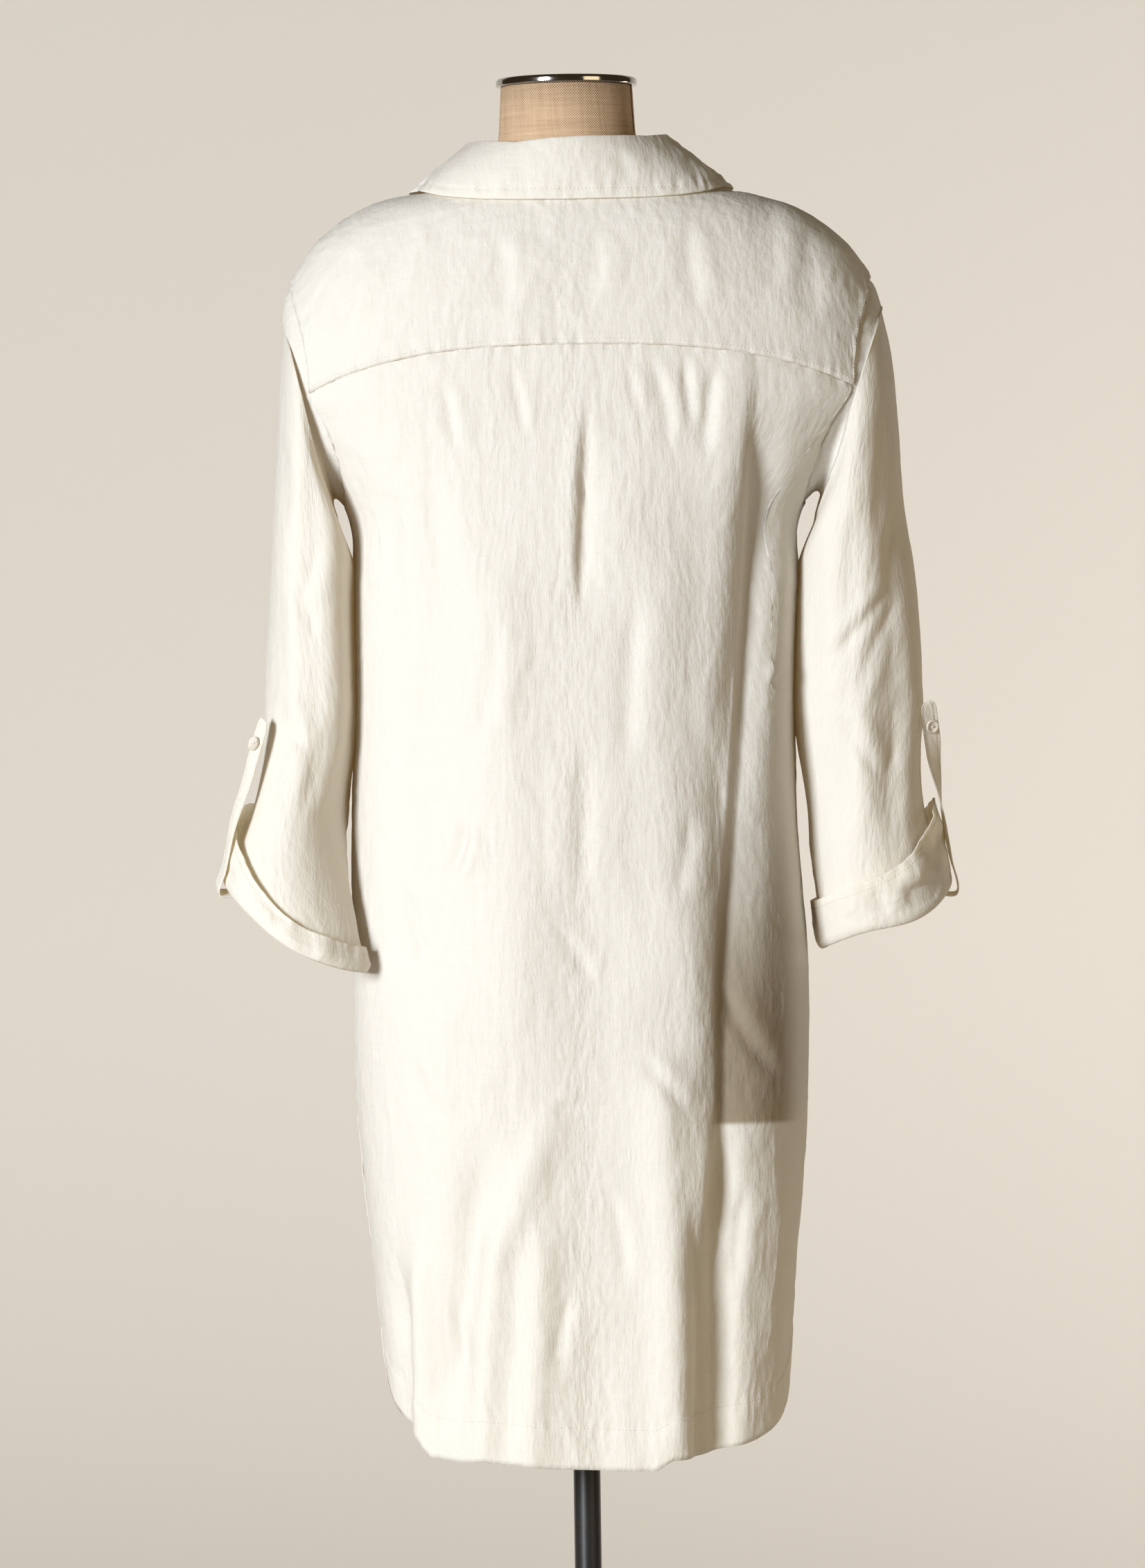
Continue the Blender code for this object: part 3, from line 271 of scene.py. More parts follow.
# ---- how finely the cloth, the form and the stand are divided
FINE_MIDDLE_STEPS = 190
YOKE_SIDE_STEPS = 44
YOKE_FINE_ROWS = 64
ARM_FINE_STEPS = 34
HUNG_FINE_ROWS = 188
FRONT_FINE_STEPS = 56
FRONT_YOKE_FINE_ROWS = 30
FRONT_ARM_FINE_ROWS = 44
PLACKET_FINE_COLUMNS = 13
PLACKET_FINE_ROWS = 120
COLLAR_ROWS = 4
COLLAR_FINE_STEPS = 260
STAND_FINE_ROWS = 14
COLLAR_FINE_ROWS = 52
SLEEVE_CAP_ROWS = 26
SLEEVE_FINE_ROWS = 150
SLEEVE_FINE_STEPS = 144
CUFF_COARSE_STEPS = 36
CUFF_FINE_STEPS = 190
CUFF_FINE_ROWS = 44
TAB_FINE_ROWS = 90
TAB_FINE_COLUMNS = 17
FORM_FINE_STEPS = 144
FORM_FINE_ROWS = 120
LATHE_STEPS = 96

# ---- the linen's own disorder: heights in metres, and shares of them for single pieces
NOISE_CELLS = 64
# columns: width and length of a pattern's cells
CRUMPLE_CELLS = {
    "warp_across": (0.045, 0.060),
    "warp_along": (0.040, 0.050),
    "swell": (0.034, 0.110),
    "crease": (0.014, 0.034),
    "cross": (0.030, 0.016),
    "fine": (0.0052, 0.0085),
    "calm": (0.060, 0.080),
}
WARP_ACROSS = 0.010
WARP_ALONG = 0.016
CALM_SHARE = 0.35
CROSS_SHARE = 0.7
FINE_SHARE = 0.4
SWELL_HEIGHT = 0.0007
CREASE_HEIGHT = 0.0007
CREASE_GAIN = 1.5
CREASE_RIDGE = 0.65
CREASE_RIDGE_ASIDE = 1.9
CREASE_RIDGE_WIDTH = 1.5
YOKE_CRUMPLE = 1.1
SLEEVE_CRUMPLE = 0.55
CUFF_CRUMPLE = 1.3
PLACKET_CRUMPLE = 0.25
STAND_CRUMPLE = 0.3
TAB_CRUMPLE = 0.35
YOKE_TROUGH_DEPTH = 0.0012
CUFF_TROUGH_DEPTH = 0.0012
BODY_ROUND = 0.165
SLEEVE_ROUND = 0.46

# ---- where the random pattern of each piece and seam starts
SEEDS = {
    "back_yoke": 11,
    "yoke_foot": 21,
    "yoke_top": 23,
    "back_panel": 31,
    "back_top": 41,
    "back_hem": 43,
    "front_panel": 51,
    "front_hem": 53,
    "placket": 61,
    "collar_stand": 71,
    "collar_fall": 81,
    "collar_edge": 83,
    "sleeve_left": 91,
    "sleeve_right": 101,
    "sleeve_seam": 93,
    "cuff_left": 111,
    "cuff_right": 121,
    "cuff_edge": 113,
    "tab": 131,
    "stitches": 7,
}

# ---- seams and hems
PUCKER_HEIGHT = 0.0009
PUCKER_REACH = 0.009
# columns: width and length of the pattern's cells, height as a share
PUCKERS = ((0.0048, 0.030, 1), (0.0026, 0.012, 0.5))
SEAM_RIDGE = 0.0006
SEAM_ALLOWANCE = 0.009
TUCK_DEPTH = 0.0018
TUCK_REACH = 0.0045
TUCK_UNDER = 0.003
HEM_LEDGE = 0.0005
HEM_LEDGE_HALF_WIDTH = 0.001
HEM_GROOVE = 0.0006
HEM_GROOVE_WIDTH = 0.0022
PLACKET_EDGE = -0.0004
COLLAR_STITCH_IN = 0.008
COLLAR_GROOVE = 0.0005
COLLAR_GROOVE_WIDTH = 0.0016
TAB_GROOVE = 0.0005
TAB_GROOVE_WIDTH = 0.06
TAB_STITCH_SHARE = 0.36
TAB_WAVE = 0.0007
TAB_WAVE_LENGTH = 0.011
TAB_WAVE_START = 0.6
SEWN_EDGE_CALM = 0.012
YOKE_END_RADIUS = 0.15
BACK_END_RADIUS = 0.12
STITCH_LIFT = 0.0002
YOKE_STITCH_IN = 0.004
CUFF_STITCH_IN = 0.006
PLACKET_STITCHES_UP = (0.003, 0.028)
PLACKET_STITCH_SHARES = (0.1, 0.9)
TAB_STITCH_SHARES = (0.14, 0.86)

# ---- where the sleeves leave their solids: tucked under the seam, nearer to the body and puffed at the cuff
SLEEVE_TUCK = 0.010
SLEEVE_TUCK_ROW = 0.08
CLEAR_TOP_Z = 1.172
INNER_REACH = 0.014
INNER_REACH_ROWS = ((1, 3), (8.5, 6))
SLEEVE_REST = 0.0012
CUFF_PUFF = 0.0032
CUFF_PUFF_START = 0.35

# ---- painted shade: a dark patch on the back of the linen where the form's lower end blocks the light through it
PAINTED_FORM_SHADE = 0.85
PAINTED_FORM_SHADE_FRONT_Y = -0.005
PAINTED_FORM_SHADE_BACK_Y = -0.030
# columns: axis, where the painted shade begins, where it is full
PAINTED_FORM_SHADE_EDGES = (
    (0, 0.096, 0.108),
    (0, 0.172, 0.150),
    (2, 0.684, 0.689),
    (2, 0.960, 0.760),
)

# ---- creases listed one by one: each a soft trough with a ridge on its right (width above 0) or its left
# columns: x_top, z_top, x_foot, z_foot, bow, width, depth
BACK_CREASES = (
    (0.013, 1.242, 0.005, 1.080, 0.000, -0.0050, 0.0026),
    (-0.0858, 0.924, -0.1015, 0.878, 0.004, 0.0050, 0.0030),
    (0.1067, 0.794, 0.154, 0.717, -0.003, 0.0060, 0.0020),
    (0.046, 0.7386, 0.0788, 0.6976, 0.002, 0.0050, 0.0018),
    (-0.0227, 0.7013, 0.001, 0.7013, 0.001, 0.0040, 0.0014),
    (0.152, 1.023, 0.163, 1.031, 0.000, 0.0040, 0.0024),
    (0.004, 0.984, 0.000, 0.860, 0.003, -0.0080, 0.0016),
    (-0.107, 1.200, -0.083, 1.050, -0.006, 0.0100, 0.0016),
    (-0.140, 1.190, -0.128, 1.040, -0.004, 0.0080, 0.0016),
    (0.062, 1.275, 0.076, 1.205, 0.003, 0.0045, 0.0016),
    (0.089, 1.277, 0.094, 1.222, -0.002, 0.0040, 0.0016),
    (0.112, 1.268, 0.104, 1.200, -0.003, 0.0050, 0.0020),
    (0.042, 1.270, 0.050, 1.232, 0.002, 0.0036, 0.0012),
    (-0.046, 1.272, -0.038, 1.216, 0.002, 0.0040, 0.0012),
    (-0.100, 1.262, -0.090, 1.206, 0.002, 0.0045, 0.0014),
    (-0.060, 1.080, -0.076, 0.980, 0.004, 0.0070, 0.0014),
    (0.050, 1.100, 0.040, 0.960, -0.004, 0.0080, 0.0014),
    (-0.020, 0.840, 0.012, 0.792, 0.003, 0.0050, 0.0012),
    (0.086, 0.930, 0.074, 0.860, 0.003, 0.0060, 0.0014),
    (-0.140, 0.880, -0.118, 0.800, 0.004, 0.0060, 0.0016),
    (-0.130, 0.740, -0.104, 0.690, -0.003, 0.0060, 0.0014),
    (0.020, 0.640, 0.032, 0.560, 0.003, 0.0060, 0.0012),
    (0.126, 0.640, 0.118, 0.560, -0.003, 0.0060, 0.0016),
    (-0.010, 0.560, -0.022, 0.500, -0.002, 0.0050, 0.0012),
    (-0.100, 0.560, -0.092, 0.500, 0.002, 0.0050, 0.0014),
)
YOKE_CREASES = (
    (0.1536, 1.404, 0.160, 1.327, -0.003, 0.0100, 0.0014),
    (0.184, 1.377, 0.189, 1.303, -0.003, 0.0100, 0.0013),
    (-0.120, 1.392, -0.146, 1.330, 0.004, 0.0070, 0.0012),
    (-0.168, 1.372, -0.180, 1.300, 0.003, 0.0065, 0.0014),
    (0.020, 1.380, 0.012, 1.310, 0.002, 0.0080, 0.0010),
    (-0.060, 1.375, -0.050, 1.310, 0.003, 0.0080, 0.0010),
    (0.092, 1.380, 0.100, 1.312, -0.003, 0.0070, 0.0012),
)
FRONT_CREASES = (
    (-0.060, 1.200, -0.086, 1.080, 0.004, 0.0070, 0.0016),
    (0.066, 1.190, 0.090, 1.060, -0.004, 0.0070, 0.0016),
    (-0.030, 1.010, -0.040, 0.900, 0.003, 0.0070, 0.0014),
    (0.100, 0.960, 0.116, 0.880, -0.003, 0.0060, 0.0016),
    (-0.120, 0.900, -0.100, 0.820, 0.004, 0.0060, 0.0016),
    (0.020, 0.800, 0.042, 0.740, 0.002, 0.0050, 0.0012),
    (-0.074, 0.700, -0.050, 0.640, 0.002, 0.0060, 0.0014),
    (0.126, 0.660, 0.120, 0.560, -0.003, 0.0060, 0.0016),
    (-0.110, 0.580, -0.100, 0.510, 0.002, 0.0050, 0.0014),
)
COLLAR_CREASES = (
    (0.036, 1.440, 0.050, 1.405, 0.002, 0.0050, 0.0010),
    (-0.050, 1.436, -0.066, 1.404, -0.002, 0.0050, 0.0010),
    (0.088, 1.436, 0.104, 1.408, 0.001, 0.0040, 0.0012),
)
SLEEVE_CREASES = {
    "left": (
        (-0.206, 1.210, -0.204, 0.930, 0.003, 0.0110, 0.0045),
        (-0.228, 1.120, -0.232, 0.940, 0.002, 0.0090, 0.0030),
        (-0.212, 1.250, -0.196, 1.130, 0.004, 0.0070, 0.0020),
        (-0.222, 1.120, -0.200, 1.060, 0.002, 0.0060, 0.0020),
        (-0.192, 1.150, -0.214, 1.090, 0.002, 0.0060, 0.0018),
        (-0.232, 1.020, -0.205, 0.975, -0.003, 0.0060, 0.0022),
        (-0.190, 1.000, -0.212, 0.930, 0.003, 0.0060, 0.0020),
        (-0.226, 1.230, -0.222, 1.150, 0.002, 0.0050, 0.0014),
    ),
    "right": (
        (0.246, 1.200, 0.244, 0.900, 0.003, 0.0100, 0.0050),
        (0.216, 1.160, 0.206, 0.890, -0.003, -0.0110, 0.0040),
        (0.1946, 1.0426, 0.246, 1.101, -0.003, 0.0050, 0.0026),
        (0.214, 1.250, 0.204, 1.140, -0.004, 0.0070, 0.0020),
        (0.240, 1.240, 0.232, 1.130, 0.003, 0.0060, 0.0020),
        (0.252, 1.090, 0.216, 1.010, -0.003, 0.0060, 0.0020),
        (0.200, 1.000, 0.232, 0.950, 0.003, 0.0060, 0.0022),
        (0.256, 1.030, 0.244, 0.950, 0.002, 0.0060, 0.0018),
    ),
}
SLEEVE_FRONT_CREASES = {
    "left": (
        (-0.210, 1.220, -0.226, 1.120, 0.003, 0.0070, 0.0020),
        (-0.196, 1.090, -0.222, 1.030, 0.003, 0.0060, 0.0020),
        (-0.228, 1.000, -0.204, 0.940, 0.003, 0.0060, 0.0020),
    ),
    "right": (
        (0.214, 1.220, 0.236, 1.120, 0.003, 0.0070, 0.0020),
        (0.246, 1.090, 0.214, 1.040, 0.003, 0.0060, 0.0020),
        (0.206, 0.990, 0.236, 0.930, 0.003, 0.0060, 0.0020),
    ),
}
CUFF_CREASES = {
    "left": (
        (-0.262, 0.905, -0.226, 0.880, 0.002, 0.0080, 0.0040),
        (-0.250, 0.872, -0.222, 0.846, 0.003, 0.0080, 0.0036),
        (-0.236, 0.900, -0.228, 0.850, 0.002, 0.0070, 0.0030),
        (-0.214, 0.850, -0.206, 0.812, 0.002, 0.0060, 0.0026),
    ),
    "right": (
        (0.262, 0.892, 0.290, 0.905, 0.002, 0.0080, 0.0036),
        (0.250, 0.862, 0.282, 0.870, -0.003, 0.0080, 0.0036),
        (0.276, 0.920, 0.270, 0.870, 0.002, 0.0070, 0.0030),
        (0.228, 0.866, 0.236, 0.842, 0.002, 0.0060, 0.0020),
    ),
}

# ---- the back's deepest fold: depth of its ridge along its line, and how far it reaches to either side
MAIN_FOLD_COLUMNS = ("z", "x", "depth")
MAIN_FOLD = (
    (0.420, 0.078, 0.0040),
    (0.510, 0.082, 0.0050),
    (0.626, 0.091, 0.0050),
    (0.700, 0.1005, 0.0045),
    (0.770, 0.1020, 0.0045),
    (0.836, 0.104, 0.0058),
    (0.914, 0.113, 0.0066),
    (1.050, 0.122, 0.0066),
    (1.130, 0.127, 0.0064),
    (1.200, 0.131, 0.0058),
    (1.250, 0.135, 0.0034),
    (1.290, 0.137, 0.0),
)
FOLD_TOP = 0.004
FOLD_WIDTH = 0.020
FOLD_FALL = 0.010
FOLD_RISE_START = 0.020
FOLD_RISE_END = 0.042
FOLD_TROUGH_SHARE = 0.25

# ---- edges that wave
# columns: turn, height of the collar's fold above its own smooth line
FOLD_WAVE = (
    (-150, 0),
    (-92, 0.0040),
    (-76, 0.0058),
    (-56, 0.0030),
    (-30, -0.0028),
    (0, -0.0012),
    (24, 0.0006),
    (50, 0.0040),
    (76, 0.0106),
    (94, 0.0060),
    (150, 0),
)
# columns: x, height of the hem above its own smooth line
HEM_WAVE_BACK = (
    (-0.130, 0.006),
    (-0.120, -0.003),
    (-0.096, 0.000),
    (-0.080, 0.004),
    (-0.050, 0.003),
    (-0.029, 0.001),
    (0.035, -0.002),
    (0.0535, -0.002),
    (0.0655, 0.006),
    (0.086, 0.004),
    (0.1024, 0.004),
    (0.130, 0.002),
)

# ---- buttons
# columns: share of the radius, share of the thickness above the seat
BUTTON_PROFILE = (
    (0.0, 0.62),
    (0.52, 0.66),
    (0.66, 0.84),
    (0.80, 1.0),
    (0.92, 0.95),
    (1.0, 0.62),
    (0.97, 0.2),
    (0.86, 0.0),
    (0.0, 0.0),
)
BUTTON_FINE_STEPS = 48
DRILL_STEPS = 20
# columns: place as a share of the way from the middle to a hole, share of the button's thickness
BUTTON_THREAD_PATH = ((-1, 0.15), (-1, 0.75), (0, 0.88), (1, 0.75), (1, 0.15))
BUTTON_THREAD_LEAN = 0.00022
BUTTON_THREAD_RADIUS = 0.00026
BUTTON_THREAD_ROWS = 15
CORD_SIDES = 8

# ---- the form's visible seam at the neck
FORM_SEAM_TURN = 76
FORM_SEAM_RADIUS = 0.0006
FORM_SEAM_LIFT = 0.0002
FORM_SEAM_ROWS = 60

# ---- camera and studio
CAMERA_PLACE = (-0.0033, -7.0, 0.9495)
CAMERA_LENS = 206.2
CAMERA_SENSOR = 36.0
CAMERA_ROLL = 0.852

# columns: name, place, aim, size, share of the light's power, colour
LIGHTS = (
    ("key", (-3.8, -5.1, 1.8), (0, 0, 0.97), (1.6, 1.8), 0.68, (0.905, 0.950, 0.985)),
    ("fill", (3.4, -3.8, 1.6), (0, 0, 1.0), (2.4, 2.4), 0.046, (1.0, 0.87, 0.60)),
    ("paper", (1.9, 0.9, 0.9), (0.2, 2.6, 0.9), (0.8, 0.8), 0.020, (1.0, 0.97, 0.93)),
)
FLOOR_HALF_WIDTH = 3.2
FLOOR_NEAR_Y = -1.6
PAPER_FAR_Y = 2.6
PAPER_TOP_Z = 3.6
PAPER_BEND = 0.8
PAPER_BEND_STEPS = 16


# ------------------------------------------------------------------ curves and sheets

def column(table, names, name):
    return np.array([row[names.index(name)] for row in table], float)


def sine_cosine(degrees):
    return np.sin(np.radians(degrees)), np.cos(np.radians(degrees))


def hump(distance, width):
    """A soft bump: 1 at no distance, and nearly nothing two widths away."""
    return np.exp(-((distance / width) ** 2))


def broken_line(table, place):
    """Straight lines between a table's pairs of place and height."""
    places, heights = zip(*table)
    return np.interp(place, places, heights)


def through(places, values, place):
    """A smooth curve through values at rising places: cubic pieces with the chords' slopes."""
    slopes = np.gradient(values, places, axis=0)
    place = np.clip(place, places[0], places[-1])
    start = np.clip(np.searchsorted(places, place) - 1, 0, len(places) - 2)
    shape = np.shape(place) + (1,) * (values.ndim - 1)
    width = np.reshape(places[start + 1] - places[start], shape)
    t = np.reshape(place - places[start], shape) / width
    risen = t * t * (3 - 2 * t)
    return (
        values[start] * (1 - risen)
        + values[start + 1] * risen
        + width * t * (1 - t) * ((1 - t) * slopes[start] - t * slopes[start + 1])
    )


def curve(table, names, name, place):
    """The smooth curve of one of a table's columns over its first column."""
    return through(column(table, names, names[0]), column(table, names, name), place)


def eased(start, end, value):
    t = np.clip((value - start) / (end - start), 0, 1)
    return t * t * (3 - 2 * t)


def stacked(x, y, z):
    return np.stack(np.broadcast_arrays(x, y, z), axis=-1).astype(float)


def unit(vectors):
    return vectors / np.linalg.norm(vectors, axis=-1, keepdims=True)


def normals_of(grid, closed, inside):
    """Outward normals of a grid of points, whose rows close on themselves if closed says so."""
    if closed:
        across = np.roll(grid, -1, axis=1) - np.roll(grid, 1, axis=1)
    else:
        across = np.gradient(grid, axis=1)
    normals = unit(np.cross(across, np.gradient(grid, axis=0)))
    outward = np.sum(normals * (grid - inside), axis=-1, keepdims=True)
    return normals * np.sign(np.median(outward))


# ------------------------------------------------------------------ surface of the tunic's body

def oval(turn, left, right, back, front):
    s, c = sine_cosine(turn)
    reach = (np.abs(s) ** OVAL_POWER + np.abs(c) ** OVAL_POWER) ** (-1 / OVAL_POWER)
    return reach * s * np.where(s < 0, left, right), -reach * c * np.where(c > 0, back, front)


def body_sizes(z):
    return [curve(BODY_SECTIONS, BODY_COLUMNS, name, z) for name in BODY_COLUMNS[1:]]


def fold_depth(x, z, table):
    depth = np.zeros(np.broadcast(x, z).shape)
    for x_top, z_top, x_foot, z_foot, half_width, deep in table:
        share = np.clip((z_top - z) / (z_top - z_foot), 0, 1)
        line = x_top + (x_foot - x_top) * share
        fade = eased(z_top, z_top - FOLD_FADE, z) * eased(z_foot, z_foot + FOLD_FADE, z)
        depth += deep * fade * hump(x - line, half_width)
    return depth


def hung_point(turn, z):
    """A point of the cloth where it hangs, at or below the shoulders' first oval."""
    left, right, back, front = body_sizes(z)
    x, y = oval(turn, left, right, back, front)
    at_back = np.cos(np.radians(turn)) > 0
    depth = np.where(at_back, fold_depth(x, z, BACK_FOLDS), fold_depth(x, z, FRONT_FOLDS))
    out_x = x / np.where(x < 0, left, right) ** 2
    out_y = y / np.where(y < 0, back, front) ** 2
    length = np.hypot(out_x, out_y)
    return stacked(x + depth * out_x / length, y + depth * out_y / length, z)


def neckline(turn):
    s, c = sine_cosine(turn)
    drop = NECK_FRONT_DROP * np.clip(-c, 0, 1) ** 1.5
    return NECK_HALF_WIDTH * s, -c * np.where(c > 0, NECK_BACK, NECK_FRONT), NECK_Z - drop


def shoulder_power(turn):
    side = np.sin(np.radians(turn)) ** 2
    return SHOULDER_POWER_MIDDLE + (SHOULDER_POWER_SIDE - SHOULDER_POWER_MIDDLE) * side


def shoulder_point(turn, bend):
    """A point on the way from the neckline (bend 0) to the body's highest oval (bend 90 degrees)."""
    neck_x, neck_y, neck_z = neckline(turn)
    foot = hung_point(turn, SHOULDER_Z)
    power = shoulder_power(turn)
    out, up = [share ** (2 / power) for share in sine_cosine(bend)]
    return stacked(
        neck_x + (foot[..., 0] - neck_x) * out,
        neck_y + (foot[..., 1] - neck_y) * out,
        SHOULDER_Z + (neck_z - SHOULDER_Z) * up,
    )


def bend_at(turn, z):
    up = np.clip((z - SHOULDER_Z) / (neckline(turn)[2] - SHOULDER_Z), 0, 1)
    return np.degrees(np.arccos(up ** (shoulder_power(turn) / 2)))


def body_point(turn, z):
    turn, z = np.broadcast_arrays(np.asarray(turn, float), np.asarray(z, float))
    above = z > SHOULDER_Z
    hung = hung_point(turn, np.minimum(z, SHOULDER_Z))
    return np.where(above[..., None], shoulder_point(turn, bend_at(turn, z)), hung)


def armhole(angle, shrink=0.0):
    """Turn from the side line (back is minus) and height at an angle round the armhole: 90 is its top."""
    s, c = sine_cosine(angle)
    reach = 1 - shrink
    turn = np.where(c > 0, ARMHOLE_FRONT_TURN, ARMHOLE_BACK_TURN) * c * reach
    return turn, ARMHOLE_Z + ARMHOLE_HALF_HEIGHT * s * reach


def armhole_z(turn, branch):
    """Height of the armhole's upper (branch 1) or lower (branch -1) edge at a turn of the right side."""
    aside = np.asarray(turn, float) - 90
    share = np.clip(aside / np.where(aside > 0, ARMHOLE_FRONT_TURN, ARMHOLE_BACK_TURN), -1, 1)
    return ARMHOLE_Z + branch * ARMHOLE_HALF_HEIGHT * np.sqrt(1 - share**2)


def gap_turn(radius):
    return math.degrees(SEAM_GAP / radius)


YOKE_CORNER_TURN = 90 - ARMHOLE_BACK_TURN
YOKE_END_TURN = 90 + float(armhole(YOKE_FRONT_ANGLE)[0])
YOKE_END_Z = float(armhole(YOKE_FRONT_ANGLE)[1])
SLIT_FOOT_Z = float(armhole(SLIT_FOOT_ANGLE)[1])
UNDERARM_Z = ARMHOLE_Z - ARMHOLE_HALF_HEIGHT


def yoke_seam_z(turn):
    share = np.abs(np.sin(np.radians(turn))) / math.sin(math.radians(YOKE_CORNER_TURN))
    return YOKE_SEAM_Z - YOKE_SEAM_DROOP * np.minimum(share, 1) ** 3


def hem_z(turn, table):
    return curve(table, HEM_COLUMNS, "z", np.abs(turn))


def across_back(side_turns, steps):
    """Turns over the back between the yoke's corners, with those of both sides beyond them."""
    middle = np.linspace(-YOKE_CORNER_TURN, YOKE_CORNER_TURN, steps + 1)
    return np.concatenate([-side_turns[:0:-1], middle, side_turns[1:]])


def yoke_foot_z(turns):
    side = np.abs(turns)
    middle = yoke_seam_z(turns)
    return np.where(side <= YOKE_CORNER_TURN, middle, armhole_z(side, 1))


def slit_half_width(z):
    top = neckline(COLLAR_END_TURN)[2]
    return SLIT_HALF_WIDTH * np.clip((z - SLIT_FOOT_Z) / (top - SLIT_FOOT_Z), 0, 1)


def front_turn_at(x, z):
    """The turn at which the front's surface has this x at this height."""
    side = np.where(np.asarray(x) < 0, -1, 1)
    near, far = 90.0, 180.0
    for _ in range(TURN_HALVINGS):
        middle = (near + far) / 2
        beyond = np.abs(body_point(side * middle, z)[..., 0]) > np.abs(x)
        near = np.where(beyond, middle, near)
        far = np.where(beyond, far, middle)
    return side * (near + far) / 2


def surface_out(turn, z, distance):
    """A point of the body's surface moved straight out by a distance, and the outward normal there."""
    nudge_turn = 0.2
    nudge_z = 0.0004
    z = np.minimum(z, neckline(turn)[2] - 3 * nudge_z)
    at = body_point(turn, z)
    across = body_point(turn + nudge_turn, z) - body_point(turn - nudge_turn, z)
    up = body_point(turn, z + nudge_z) - body_point(turn, z - nudge_z)
    normal = unit(np.cross(across, up))
    normal = normal * np.sign(np.sum(normal * at * (1, 1, 0), axis=-1, keepdims=True))
    return at + normal * distance, normal


# ------------------------------------------------------------------ surfaces of the collar, sleeves and tabs

def fold_line(turn):
    s, c = sine_cosine(turn)
    share = eased(0, COLLAR_END_TURN, np.abs(turn))
    height = STAND_HEIGHT_BACK + (STAND_HEIGHT_END - STAND_HEIGHT_BACK) * share
    depth = np.where(c > 0, FOLD_LINE_BACK, FOLD_LINE_FRONT)
    return stacked(FOLD_LINE_HALF_WIDTH * s, -c * depth, neckline(turn)[2] + height)


def collar_edge(turn):
    edge_turn = curve(COLLAR_EDGE, COLLAR_EDGE_COLUMNS, "edge_turn", np.abs(turn))
    edge_z = curve(COLLAR_EDGE, COLLAR_EDGE_COLUMNS, "edge_z", np.abs(turn))
    lift = COLLAR_EDGE_LIFT + COLLAR_POINT_LIFT * eased(90, COLLAR_END_TURN, np.abs(turn))[..., None]
    return surface_out(np.sign(turn) * edge_turn, edge_z, LYING_ON + lift)[0]


def moved(points, out, up):
    """Points moved out from the pole's axis, and up."""
    level = unit(points * (1, 1, 0))
    return points + level * out + np.array((0, 0, up))


def kept_clear(points, clearance):
    """Points moved out from the body of the tunic, below its armholes, where they are too near."""
    x, y, z = points[..., 0], points[..., 1], points[..., 2]
    left, right, back, front = body_sizes(np.minimum(z, CLEAR_TOP_Z))
    half = np.where(x < 0, left, right) + clearance
    depth = np.where(y < 0, back, front) + clearance
    reach = ((np.abs(x) / half) ** OVAL_POWER + (np.abs(y) / depth) ** OVAL_POWER) ** (1 / OVAL_POWER)
    push = np.maximum(1, 1 / np.maximum(reach, 0.2))
    return stacked(x * push, y * push, z)


def sleeve_seam(side, angle, row):
    """The sleeve's seam line at row 0, and the body's surface further inside the armhole below it."""
    sign = -1 if side == "left" else 1
    tucked = SLEEVE_TUCK * eased(SLEEVE_TUCK_ROW, 0, row)
    aside, z = armhole(angle, shrink=SLEEVE_SEAM_SHRINK - tucked + SLEEVE_CAP_SHRINK * np.clip(row, 0, 1))
    return body_point(sign * (90 + aside), z)


def sleeve_point(side, angle, row):
    """A point of the sleeve: angle 90 is its outer edge, 180 its back, and row 0 its armhole seam."""
    angle, row = np.broadcast_arrays(np.asarray(angle, float), np.asarray(row, float))
    sign = -1 if side == "left" else 1
    rows = SLEEVES[side]
    places = np.arange(1, len(rows) + 1)
    size = {name: through(places, column(rows, SLEEVE_COLUMNS, name), row) for name in SLEEVE_COLUMNS}
    outer = stacked(sign * size["outer_x"], size["outer_y"], size["outer_z"])
    (first, full), (last, fading) = INNER_REACH_ROWS
    inner_x = size["inner_x"] - INNER_REACH * eased(first, full, row) * eased(last, fading, row)
    inner = stacked(sign * inner_x, size["inner_y"], size["inner_z"])
    reach = (outer - inner) / 2
    forward = unit(np.cross(reach, (0, 0, 1)))
    forward = forward * np.sign(forward[..., 1:2])
    s, c = sine_cosine(angle)
    fullness = (np.abs(s) ** SLEEVE_POWER + np.abs(c) ** SLEEVE_POWER) ** (-1 / SLEEVE_POWER)
    away = reach * (fullness * s)[..., None] + forward * (fullness * c * size["half_depth"])[..., None]
    depth = np.zeros(row.shape)
    for fold_angle, row_top, row_foot, half_angle, deep in SLEEVE_FOLDS[side]:
        apart = (angle - fold_angle + 180) % 360 - 180
        fade = eased(row_top, row_top + 2, row) * eased(row_foot, row_foot - 2, row)
        depth += deep * fade * hump(apart, half_angle)
    hanging = (outer + inner) / 2 + away + unit(away) * depth[..., None]
    sag_angle, half_angle, drop = SLEEVE_SAGS[side]
    hanging[..., 2] -= drop * eased(8, 11, row) * hump(angle - sag_angle, half_angle)
    clearance = SLEEVE_REST * eased(0.5, 3, row) + CUFF_END_CLEARANCE * eased(7, 10, row)
    hanging = kept_clear(hanging, clearance)
    share = eased(SLEEVE_TUCK_ROW, 1, row)[..., None]
    return sleeve_seam(side, angle, row) * (1 - share) + hanging * share


